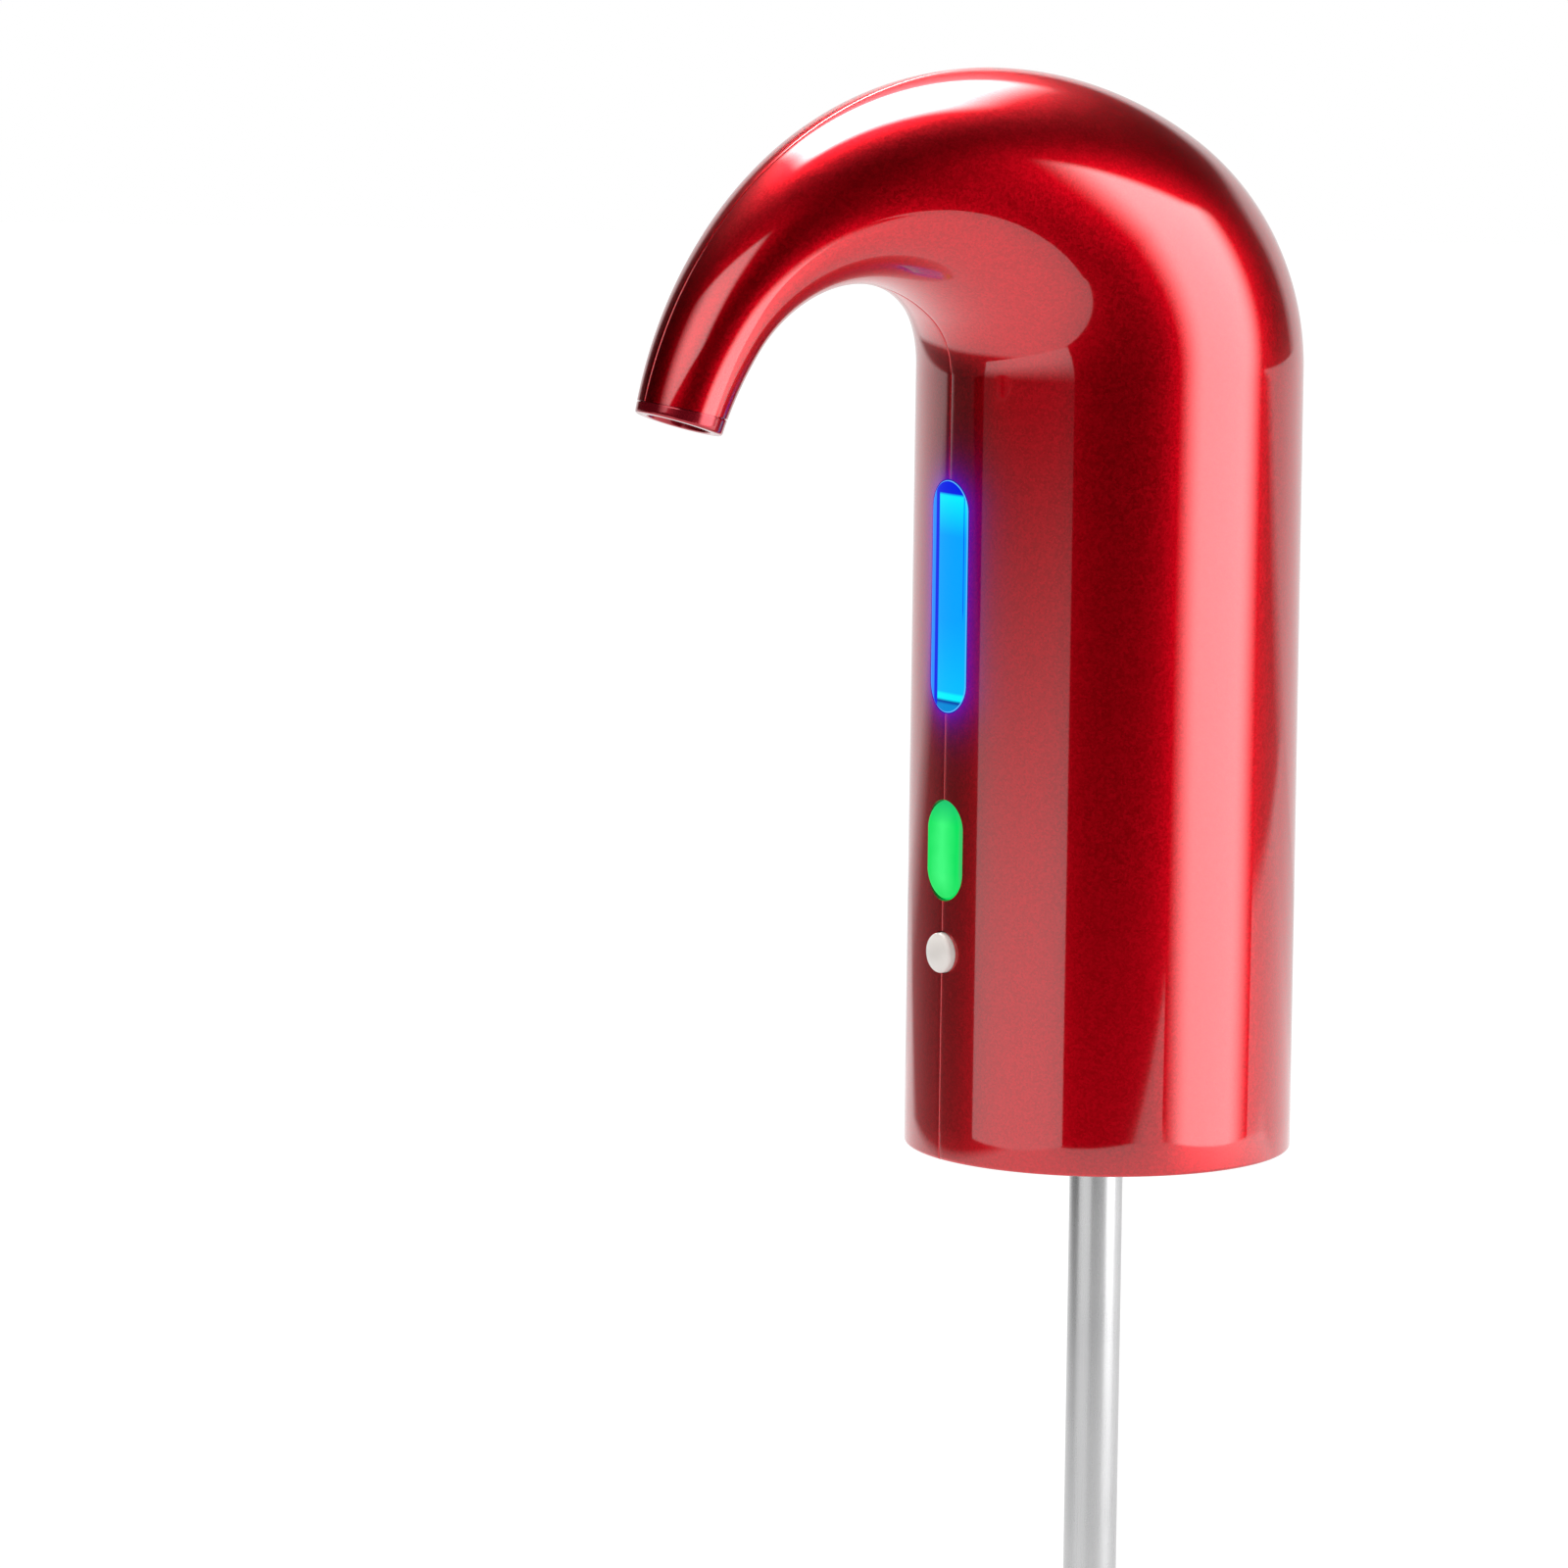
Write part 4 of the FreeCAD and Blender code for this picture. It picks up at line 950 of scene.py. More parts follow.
def drawn_steel():
    """tube drawn along Z: fine lines along its length"""
    finish = Finish("tube_steel", Metallic=1.0, Roughness=0.28)
    stretch = finish.tree.nodes.new("ShaderNodeMapping")
    stretch.inputs["Scale"].default_value = (1.0, 1.0, 0.02)
    finish.tree.links.new(finish.tree.nodes.new("ShaderNodeTexCoord").outputs["Object"], stretch.inputs[0])
    lines = noise(finish.tree, stretch.outputs[0], 5000.0, 3.0)
    grain, drift, marks = finish.group(grain_nodes, 3000.0, 50.0)
    finish.colour(finish.mix(lines * 0.5 + drift * 0.5, (0.46, 0.46, 0.47), (0.66, 0.66, 0.66)))
    finish.value(0.22 + lines * 0.12 + marks * 0.05, "Roughness")
    finish.bump(lines, 0.004 * mm)
    return finish.material


def board_green():
    finish = Finish("green_board", Roughness=0.35, Coat_Weight=0.4)
    place = finish.tree.nodes.new("ShaderNodeTexCoord").outputs["Object"]
    tracks = finish.tree.nodes.new("ShaderNodeTexBrick")
    finish.tree.links.new(place, tracks.inputs["Vector"])
    tracks.inputs["Scale"].default_value = 260.0
    tracks.inputs["Mortar Size"].default_value = 0.03
    grain, drift, marks = finish.group(grain_nodes, 4000.0, 300.0)
    laid = limited((drift - 0.5) * 12.0, 0, 1)
    copper = Value(finish.tree, tracks.outputs["Fac"]) * laid
    base = finish.mix(copper, (0.006, 0.10, 0.035), (0.02, 0.22, 0.08))
    # the parts that stand on its front are black
    x, y, z = finish.place()
    finish.colour(finish.mix(step(0 - x, board_front + 0.02 * mm, 0.02 * mm), base, (0.02, 0.02, 0.022)))
    finish.value(0.30 + grain * 0.1, "Roughness")
    return finish.material


def shrink_sleeve():
    """coloured sleeve of the cell, which leaves the middle of both its ends bare steel"""
    finish = Finish("battery_can", Coat_Weight=0.5)
    x, y, z = finish.place()
    grain, drift, marks = finish.group(grain_nodes, 2500.0, 60.0)
    from_axis = ((x - pump_x) * (x - pump_x) + y * y).math("SQRT")
    past_ends = (z - at(middle_shelf) - 19.0 * mm).math("ABSOLUTE")
    bare = (1 - step(from_axis, 7.22 * mm, 0.04 * mm)) * step(past_ends, 16.0 * mm, 0.1 * mm)
    sleeve = finish.mix(drift * 0.7 + grain * 0.3, (0.02, 0.14, 0.34), (0.03, 0.20, 0.44))
    finish.colour(finish.mix(bare, sleeve, (0.52, 0.52, 0.53)))
    finish.value(bare, "Metallic")
    finish.value(0.28 + grain * 0.08 + marks * 0.04, "Roughness")
    return finish.material


def socket_steel():
    """drawn shell of the charging port round its black tongue"""
    finish = Finish("socket_steel")
    x, y, z = finish.place()
    grain, drift, marks = finish.group(grain_nodes, 4000.0, 90.0)
    beside = step(y.math("ABSOLUTE"), 3.33 * mm, 0.03 * mm)
    above = step((z - at(port_height)).math("ABSOLUTE"), 0.38 * mm, 0.03 * mm)
    shell = limited(beside + above, 0, 1)
    steel = finish.mix(drift, (0.48, 0.48, 0.49), (0.64, 0.64, 0.65))
    finish.colour(finish.mix(shell, (0.02, 0.02, 0.022), steel))
    finish.value(shell, "Metallic")
    finish.value(0.26 + grain * 0.08 + marks * 0.04, "Roughness")
    return finish.material


finishes = {
    "red_lacquer": red_lacquer(),
    "red_trim": red_trim(),
    "nozzle_plastic": nozzle_plastic(),
    "lit_blue": lit_blue(),
    "lit_green": lit_green(),
    "tube_steel": drawn_steel(),
    "green_board": board_green(),
    "battery_can": shrink_sleeve(),
}
coated = {"Coat_Weight": 0.3, "Coat_Roughness": 0.15}
for name, low, high, roughness, settings in (
    ("black_plastic", (0.012, 0.012, 0.013), (0.026, 0.026, 0.028), 0.42, {}),
    ("white_plastic", (0.62, 0.62, 0.60), (0.74, 0.74, 0.72), 0.45, {}),
    ("warm_white_plastic", (0.80, 0.75, 0.71), (0.86, 0.81, 0.77), 0.34, coated),
    ("black_silicone", (0.014, 0.014, 0.016), (0.03, 0.03, 0.032), 0.62, {"grain_size": 1500.0}),
    ("clear_grey_plastic", (0.16, 0.17, 0.18), (0.24, 0.25, 0.26), 0.22, {}),
    ("clear_silicone", (0.55, 0.58, 0.58), (0.68, 0.70, 0.70), 0.40, {"Subsurface_Weight": 0.2}),
    ("clear_acrylic", (0.70, 0.78, 0.80), (0.80, 0.86, 0.88), 0.08, {"depth": 0.002}),
    ("screw_steel", (0.40, 0.40, 0.41), (0.54, 0.54, 0.55), 0.30, {"grain_size": 4000.0, "Metallic": 1.0}),
    ("led_white", (0.78, 0.80, 0.70), (0.88, 0.90, 0.80), 0.25, {}),
):
    finishes[name] = plain_finish(name, low, high, roughness, **settings)
record_slots = {item["node"]: item["material_slot"] for item in frame["record"]["subparts"]}
node_bodies = {
    node: body for body, nodes in frame["record"]["behaviour"]["bodies"].items() for node in nodes
}


def dress(piece, node, finish=None):
    slot = record_slots[node]
    return worn(piece, node_bodies[node], node, finish or finishes[slot], slot)


# Pieces


def skin_outline(height):
    return rim_radius + (shoulder_radius - rim_radius) * height / body_height


def panel_cutters():
    """cutters for the window and the two buttons, a gap wider than each"""
    gap = 2 * panel_gap
    near = -rim_radius - 5 * mm
    far = -rim_radius + 8 * mm
    window = stadium_outline(window_width + gap, window_length + gap)
    power = stadium_outline(power_width + gap, power_length + gap)
    small = stadium_outline(2 * small_radius + gap, 2 * small_radius + gap + 1e-7)
    return [
        prism("window_cut", window, window_height, near, far),
        prism("power_cut", power, power_height, near, far),
        prism("small_cut", small, small_height, near, far),
    ]


def port_cutters():
    near = rim_radius - 8 * mm
    far = rim_radius + 5 * mm
    slot = [(y, z) for z, y in stadium_outline(port_thickness, port_width)]
    seat = [(y, z) for z, y in stadium_outline(cover_height, cover_width)]
    pocket = prism("port_seat_cut", seat, port_height, near, far)
    core = upright_core("port_core", rim_radius - 1.0 * mm, at(0), at(25 * mm))
    return [prism("port_slot_cut", slot, port_height, near, far), cut_away(pocket, [core])]


def end_cutter():
    """takes the crook's end off at the joint with the collar"""
    outline = [(0, -8 * mm), (20 * mm, -8 * mm), (20 * mm, 0), (0, 0)]

    def place(radius, angle, depth):
        if depth < 0:
            return spout_point(radius, angle, depth)
        return spout_point(radius, angle, joint_height - joint_tilt * math.cos(angle) * radius / tip_radius)

    return turned("mouth_cut", outline, 120, place)


def end_walls(shape):
    """closes the two open ends of a half, each a flat half ring"""
    open_edges = [edge for edge in shape.edges if edge.is_boundary]
    bmesh.ops.edgeloop_fill(shape, edges=open_edges)


def hose_line(steps=40):
    """middle line of the pouring hose: up from the connector, over in two bends, straight into the nozzle"""
    final = math.atan2(-tip_inwards.z, -tip_inwards.x) % (2 * math.pi) - math.pi / 2
    first = math.radians(70.0)
    bend = 38.0 * mm
    end = spout_line(nozzle_recess + nozzle_length + 4.0 * mm)
    second_bend = (hose_x - end.x - bend * (1 - math.cos(first))) / (math.cos(first) - math.cos(final))
    foot = end.z - bend * math.sin(first) - second_bend * (math.sin(final) - math.sin(first))
    line = [Vector((hose_x, 0, connector_top))]
    for k in range(steps + 1):
        turn = first * k / steps
        line.append(Vector((hose_x - bend + bend * math.cos(turn), 0, foot + bend * math.sin(turn))))
    middle = line[-1] - Vector((math.cos(first), 0, math.sin(first))) * second_bend
    for k in range(1, steps + 1):
        turn = first + (final - first) * k / steps
        line.append(middle + Vector((math.cos(turn), 0, math.sin(turn))) * second_bend)
    return line + [spout_line(nozzle_recess + nozzle_length)]


def hose_ribs(side):
    """plates inside the crook that hold the hose, each with a half-round notch for it"""
    ribs = []
    steps = 32
    line = hose_line()
    for fraction in (0.36, 0.55, 0.72):
        centre, back, radius = section(1.0, fraction)
        middle = Vector((centre[0], 0, centre[1]))
        out = Vector((back[0], 0, back[1]))
        ahead = Vector((-back[1], 0, back[0]))
        crossing = min(line, key=lambda point: abs((point - middle).dot(ahead)))
        half = ahead * 0.6 * mm
        rings = []
        for k in range(steps + 1):
            angle = math.pi * k / steps
            way = out * math.cos(angle) + Vector((0, side * math.sin(angle), 0))
            near = crossing + way * (hose_radius + 0.5 * mm)
            far = middle + way * (radius - wall * 0.7)
            rings.append([near - half, near + half, far + half, far - half])
        points = [point for ring in rings for point in ring]
        last = 4 * steps
        faces = [[0, 1, 2, 3], [last + 3, last + 2, last + 1, last]]
        for k in range(0, last, 4):
            faces += [[k + j, k + (j + 1) % 4, k + 4 + (j + 1) % 4, k + 4 + j] for j in range(4)]
        ribs.append(solid_from("hose_rib", points, faces))
    return ribs


def housing_bosses(side):
    """screw bosses with their webs and the ribs that the inner frame slides between"""
    made = []
    low, high = at(2.8 * mm), at(15.0 * mm)
    for angle in (45, 135):
        turn = Matrix.Rotation(math.radians(side * angle), 4, "Z")
        foot, top = (base_screw_circle, 0, low), (base_screw_circle, 0, high)
        boss = rod("boss", 3.2 * mm, foot, top, 1.25 * mm, 0.2)
        near = (base_screw_circle + 2.8 * mm, -1.0 * mm, low)
        web = block("web", near, (inner_radius + 0.6 * mm, 1.0 * mm, high), 0.2)
        for piece in (boss, web):
            piece.data.transform(turn)
        made += [boss, web]
    for x in (-9.0 * mm, 2.0 * mm):
        far = math.sqrt((inner_radius + 0.6 * mm) ** 2 - max(abs(x), abs(x + 1.5 * mm)) ** 2)
        near, far = sorted((side * 21.14 * mm, side * far))
        made.append(block("guide", (x, near, at(46.0 * mm)), (x + 1.5 * mm, far, at(106.0 * mm)), 0.15))
    return made


def housing_half(node, side, tree):
    skin = reworked(grown(node + "_skin", tree, side=side, finish=finishes["red_lacquer"]), end_walls)
    piece = new_piece(node + "_shell", skin.data.copy())
    cut_away(piece, panel_cutters() + port_cutters() + [end_cutter()])
    joined(piece, housing_bosses(side) + hose_ribs(side))
    smooth(skin, 50)
    smooth_like(piece, skin)
    bpy.data.objects.remove(skin)
    return dress(piece, node)


def spout_collar():
    """ring that carries on the crook's skin below a fine groove, with a wide mouth and a spigot"""
    angles = [2 * math.pi * k / 120 for k in range(120)]
    rings = []

    def ring(radius, depth):
        rings.append([spout_point(radius, angle, depth) for angle in angles])

    def skin_ring(inset, share, lift=0.0):
        """share runs from the mouth to the joint"""
        spots = []
        for angle in angles:
            depth = joint_depth(angle) * share + lift
            spots.append(spout_point(skin_reach(angle, depth) - inset, angle, depth))
        rings.append(spots)

    bore = nozzle_radius + 0.05 * mm
    top = collar_length + collar_spigot_length
    lip = 0.35 * mm
    for k in range(5):
        turn = math.pi / 2 * k / 4
        skin_ring(lip * (1 - math.sin(turn)), 0.0, lip * (1 - math.cos(turn)))
    for share in (0.4, 0.6, 0.8):
        skin_ring(0, share)
    skin_ring(0, 1.0, -joint_groove - 0.08 * mm)
    skin_ring(0.02 * mm, 1.0, -joint_groove - 0.02 * mm)
    skin_ring(0.08 * mm, 1.0, -joint_groove)
    skin_ring(groove_depth, 1.0, -joint_groove)
    skin_ring(groove_depth, 1.0)
    rings.append([spout_point(collar_spigot_radius, angle, joint_depth(angle)) for angle in angles])
    ring(collar_spigot_radius, top - 0.2 * mm)
    ring(collar_spigot_radius - 0.2 * mm, top)
    ring(bore, top)
    ring(bore, nozzle_recess + 0.1 * mm)
    ring(bore + 0.1 * mm, nozzle_recess)
    ring(mouth_bore - 0.15 * mm, nozzle_recess - 0.3 * mm)
    ring(mouth_bore, 0.25 * mm)
    ring(mouth_bore + 0.05 * mm, 0.1 * mm)
    ring(mouth_bore + 0.2 * mm, 0)
    return dress(finished(lofted("spout_ring", rings)), "spout_collar")


def spout_nozzle():
    """insert with a flared bore and a ring of air holes round it"""
    top = nozzle_recess + nozzle_length
    outline = [
        (nozzle_bore + 1.0 * mm, nozzle_recess), (nozzle_radius, nozzle_recess), (nozzle_radius, top),
        (2.4 * mm, top), (2.4 * mm, top + 4.0 * mm), (nozzle_bore, top + 4.0 * mm),
        (nozzle_bore, nozzle_recess + 1.5 * mm),
    ]
    piece = turned("spout_insert", rounded(outline, 0.15 * mm), 120, spout_point)
    holes = []
    for k in range(6):
        angle = math.radians(60 * k)
        start = spout_point(3.35 * mm, angle, nozzle_recess - 1.0 * mm)
        holes.append(rod("air_hole", 0.45 * mm, start, start + tip_inwards * 3.5 * mm, steps=24))
    return dress(finished(cut_away(piece, holes)), "spout_nozzle")


def lens(name, width, length, height, face, inner, edge=0.25 * mm):
    """slot-shaped cap along X: its outer face follows a rule, its edge is rounded and its back is flat"""
    count = len(stadium_outline(width, length))
    points, faces = [], []
    corner_steps = 5

    def ring(offset, sink):
        """points of the outline drawn in by offset, sunk below the face by sink"""
        drawn = stadium_outline(width - 2 * offset, length - 2 * offset)
        points.extend((-(face(y, z) - sink), y, at(height) + z) for y, z in drawn)

    points.extend((-inner, y, at(height) + z) for y, z in stadium_outline(width, length))
    for k in range(corner_steps + 1):
        turn = math.pi / 2 * k / corner_steps
        ring(edge * (1 - math.cos(turn)), edge * (1 - math.sin(turn)))
    inset_steps = 14
    for k in range(1, inset_steps):
        ring(edge + (width / 2 - edge) * k / inset_steps * 0.999, 0.0)
    total = len(points) // count
    for k in range(total - 1):
        for j in range(count):
            i = (j + 1) % count
            faces.append([k * count + j, k * count + i, (k + 1) * count + i, (k + 1) * count + j])
    faces.append(list(range(count)))
    faces.append(list(range((total - 1) * count, total * count)))
    return solid_from(name, points, faces)


def skirted(name, width, length, height, face, edge=0.25 * mm, stem=0.0):
    """lens that a skirt holds behind the housing's wall, and that may have a stem for its switch"""
    seat = skin_outline(height + length / 2) - wall - 0.05 * mm
    cap = lens(name, width, length, height, face, seat - 0.8 * mm, edge)
    wide, tall = width + 2 * skirt_overlap, length + 2 * skirt_overlap
    skirt = lens("skirt", wide, tall, height, curved(seat), seat - 3.0 * mm, 0.2 * mm)
    core = upright_core("skirt_core", seat - skirt_thickness, at(height - tall), at(height + tall))
    cut_away(skirt, [core])
    others = [skirt]
    if stem:
        foot, top = (0.5 * mm - seat, 0, at(height)), (-switch_face, 0, at(height))
        others.append(rod("stem", stem, foot, top, 0, 0.15))
    return smooth(joined(cap, others), 40)


def light_window():
    """lens that follows the housing's curve"""
    face = curved(skin_outline(window_height) + window_proud)
    return dress(skirted("light_lens", window_width, window_length, window_height, face), "light_window")


def curved(radius):
    """rule of a face that is bent round the housing's axis"""
    return lambda y, z: math.sqrt(radius ** 2 - y ** 2)


def domed(height, proud, dome):
    """rule of a face that bulges out of the housing by proud at its middle"""
    apex = skin_outline(height) + proud
    return lambda y, z: apex - dome + math.sqrt(dome ** 2 - y ** 2 - z ** 2)


def power_button():
    face = domed(power_height, power_proud, power_dome)
    cap = skirted("oval_button", power_width, power_length, power_height, face, 0.5 * mm, stem_radius)
    return dress(cap, "power_button")


def small_button():
    face = domed(small_height, small_proud, small_dome)
    size = 2 * small_radius
    cap = skirted("round_button", size, size + 1e-7, small_height, face, 0.4 * mm, stem_radius)
    return dress(cap, "small_button")


def base_socket():
    """plate that closes the housing from below, with the round socket for the neck and posts on its
    ceiling"""
    piece = lathed("socket_shell", [
        (17.3, -19.7), (26.65, -19.7), (26.65, -17.7), (18.5, -17.7), (18.5, 5.5), (6.3, 5.5), (6.3, 3.0),
        (16.5, 3.0), (16.5, -18.9),
    ], 0.35, steps=128)
    holes = []
    for k in range(4):
        angle = math.radians(45 + 90 * k)
        x, y = base_screw_circle * math.cos(angle), base_screw_circle * math.sin(angle)
        holes.append(rod("screw_hole", 1.4 * mm, (x, y, -21 * mm), (x, y, -16 * mm)))
        holes.append(rod("screw_seat", 2.6 * mm, (x, y, -21 * mm), (x, y, -18.7 * mm)))
    cut_away(piece, holes)
    posts = [
        rod("post", 2.5 * mm, (x, side * y, 5.0 * mm), (x, side * y, at(frame_foot)), 1.05 * mm, 0.25)
        for x, y in frame_posts for side in (-1, 1)
    ]
    table = block("port_table", (17.5 * mm, -5 * mm, -18.2 * mm), (25.4 * mm, 5 * mm, -11.15 * mm), 0.25)
    return dress(finished(joined(piece, posts + [table])), "base_socket")


def stopper():
    """silicone plug with a flange, a sealing land and three ribs"""
    outline = [(6.05, 3.0), (14.0, 3.0), (14.0, 0.0), (9.5, 0.0), (9.5, -6.0), (8.5, -6.8)]
    for k in range(3):
        z = -8.2 - 5.0 * k
        outline += [(8.5, z), (9.5, z - 0.4), (9.5, z - 1.04), (8.5, z - 2.0)]
    outline += [(8.5, -22.5), (7.0, -24.0), (4.7, -24.0), (4.7, -12.1), (6.05, -12.1)]
    return dress(finished(lathed("ribbed_plug", outline, 0.3, steps=120)), "stopper")


def flow_connector():
    """takes the drink up and air down through the stopper, with a barb for each hose"""
    body = lathed("connector_body", [
        (4.6, -12.0), (6.0, -12.0), (6.0, 5.5), (13.0, 5.5), (13.0, 8.0), (7.5, 8.0), (7.5, 16.0),
        (6.0, 17.5), (0.0, 17.5), (0.0, 14.8), (4.05, 14.8), (4.05, 13.0), (4.6, 13.0),
    ], 0.25)
    barb = lathed("hose_barb", [
        (1.75, 16.9), (2.4, 16.9), (2.4, 19.4), (2.05, 19.5), (2.4, 22.0), (2.05, 22.1), (2.4, 24.6),
        (2.05, 24.7), (1.95, 26.5), (1.75, 26.5),
    ], 0.1, hose_x)
    way = air_port_way
    level = Vector((0, 0, air_port_z))
    port = rod("air_port", 1.5 * mm, level + way * 6.9 * mm, level + way * 12.5 * mm, 0.8 * mm, 0.15)
    channel = rod("channel", 1.75 * mm, (hose_x, 0, 14.0 * mm), (hose_x, 0, 19.0 * mm))
    hole = rod("air_hole", 0.8 * mm, level + way * 3.0 * mm, level + way * 8.5 * mm)
    cut_away(body, [channel, hole])
    return dress(finished(joined(body, [barb, port])), "flow_connector")


def tubes():
    """two drawn tubes that slide in each other, and the foot on the lower one"""
    upper = lathed("outer_tube", [
        (3.7, 14.7), (4.0, 14.7), (4.0, -127.5), (3.67, -128.0), (3.67, -130.0), (3.35, -130.0),
        (3.35, -128.0), (3.7, -127.5),
    ], 0.12)
    dress(finished(upper), "upper_tube")
    lower = lathed("inner_tube", [
        (3.0, -138.0), (3.3, -138.0), (3.3, -9.3), (3.62, -9.0), (3.62, -7.3), (3.32, -7.0), (3.0, -7.0),
    ], 0.1)
    dress(finished(lower), "lower_tube")
    foot = lathed("tube_foot", [
        (3.0, -140.5), (3.5, -140.5), (3.9, -140.1), (3.9, -133.1), (3.5, -132.5), (3.35, -132.5),
        (3.35, -138.0), (3.0, -138.0),
    ], 0.12)
    slot = block("slot_cut", (0, -0.9 * mm, -142 * mm), (5.0 * mm, 0.9 * mm, -138.7 * mm), 0)
    slot.data.transform(Matrix.Rotation(math.radians(30), 4, "Z"))
    slots = grown(
        "slots", repeated, source=slot, count=3, turn=math.radians(120), finish=finishes["black_plastic"]
    )
    dress(finished(cut_away(foot, [slots])), "inlet_foot")


def hose(name, line, radius, bore, steps=40):
    """soft tube along a line in one plane"""
    rings, inner = [], []
    across = (line[1] - line[0]).cross(line[-1] - line[0]).normalized()
    angles = [2 * math.pi * k / steps for k in range(steps)]
    for k, point in enumerate(line):
        way = (line[min(k + 1, len(line) - 1)] - line[max(k - 1, 0)]).normalized()
        out = way.cross(across)
        for kept, size in ((rings, radius), (inner, bore)):
            kept.append([point + (across * math.cos(a) + out * math.sin(a)) * size for a in angles])
    return finished(lofted(name, rings + inner[::-1]), 40)


def hoses():
    dress(hose("drink_hose", hose_line(), hose_radius, hose_bore), "pour_hose")
    way = air_port_way
    level = Vector((0, 0, air_port_z))
    bend = 4.4 * mm
    corner = way * 18.0 * mm + level
    line = [corner + Vector((0, 0, 9.5 * mm))]
    for k in range(17):
        turn = math.pi / 2 * k / 16
        line.append(corner - way * bend * (1 - math.cos(turn)) + Vector((0, 0, bend * (1 - math.sin(turn)))))
    line.append(way * 7.5 * mm + level)
    dress(hose("elbow_hose", line, air_hose_radius, air_hose_bore, 32), "air_hose")


def pump_pieces():
    """air pump: diaphragm with three cups, wobble plate, body, motor, shaft and eccentric"""
    foot = pump_foot / mm
    cup = lathed("cup", [
        (0, foot + 7.0), (2.99, foot + 7.0), (2.2, foot + 9.4), (1.9, foot + 9.6), (0, foot + 9.6),
    ], 0.25, 6.4 * math.cos(math.radians(60)) * mm, 6.4 * math.sin(math.radians(60)) * mm, 40)
    cups = grown(
        "cups", repeated, source=cup, count=3, turn=math.radians(120), finish=finishes["black_silicone"]
    )
    cups.data.transform(Matrix.Translation((pump_x, 0, 0)))
    membrane = lathed("membrane", [
        (0, foot + 6.0), (12.3, foot + 6.0), (12.3, foot + 7.2), (0, foot + 7.2),
    ], 0.2, pump_x)
    dress(finished(joined(membrane, [cups])), "diaphragm")
    plate = lathed("wobble_disc", [
        (0, foot + 9.4), (9.0, foot + 9.4), (9.0, foot + 10.9), (3.8, foot + 10.9), (3.8, foot + 12.5),
        (2.8, foot + 12.5), (2.8, foot + 10.2), (0, foot + 10.2),
    ], 0.2, pump_x)
    dress(finished(plate), "wobble_plate")
    body = lathed("pump_shell", [
        (11.0, foot + 7.2), (12.5, foot + 7.2), (12.5, foot + 21.0), (3.0, foot + 21.0), (3.0, foot + 19.0),
        (11.0, foot + 19.0),
    ], 0.3, pump_x)
    dress(finished(body), "pump_body")
    low, high = motor_foot / mm, motor_foot / mm + 24.0
    can = lathed("motor_can", [
        (1.06, low - 1.2), (2.8, low - 1.2), (2.8, low), (12.0, low), (12.0, high - 2.6), (11.8, high - 2.4),
        (11.8, high - 2.1), (12.0, high - 1.9), (12.0, high - 0.6), (11.3, high), (3.2, high),
        (3.2, high + 1.2), (1.06, high + 1.2),
    ], 0.3, pump_x)
    vent_foot, vent_top = (high - 9.0) * mm, (high - 6.0) * mm
    vent = block("vent_cut", (10.6 * mm, -2.2 * mm, vent_foot), (13.0 * mm, 2.2 * mm, vent_top), 0.4)
    vents = grown("vents", repeated, source=vent, count=2, turn=math.pi, finish=finishes["tube_steel"])
    vents.data.transform(Matrix.Translation((pump_x, 0, 0)) @ Matrix.Rotation(math.radians(90), 4, "Z"))
    dress(finished(cut_away(can, [vents])), "pump_motor")
    top = (high + 1.6) * mm
    shaft = rod("shaft", 1.0 * mm, (pump_x, 0, (low - 5.3) * mm), (pump_x, 0, top), 0, 0.2)
    dress(finished(shaft), "motor_shaft")
    disc = lathed("cam", [
        (0, low - 6.1), (4.0, low - 6.1), (4.0, low - 2.6), (1.0, low - 2.6), (1.0, low - 5.3),
        (0, low - 5.3),
    ], 0.2, pump_x)
    near = (pump_x + 1.8 * mm, -5 * mm, (low - 4.6) * mm)
    flat = block("flat_cut", near, (pump_x + 6 * mm, 5 * mm, low * mm), 0)
    cut_away(disc, [flat])
    pin_x = pump_x + 1.2 * mm
    pin = rod("cam_pin", 0.8 * mm, (pin_x, 0, (low - 8.5) * mm), (pin_x, 0, (low - 5.7) * mm), 0, 0.2)
    dress(finished(joined(disc, [pin])), "eccentric")


def battery():
    """cell in a shrink sleeve that is drawn over both its ends, with its raised terminal"""
    low = at(middle_shelf) / mm + 2.0
    cell = lathed("cell", [
        (0, low + 0.15), (7.2, low + 0.15), (7.4, low), (9.2, low), (9.2, low + 34.0), (7.4, low + 34.0),
        (7.2, low + 33.8), (3.0, low + 33.8), (3.0, low + 35.0), (0, low + 35.0),
    ], 0.5, pump_x)
    return dress(finished(cell), "battery")


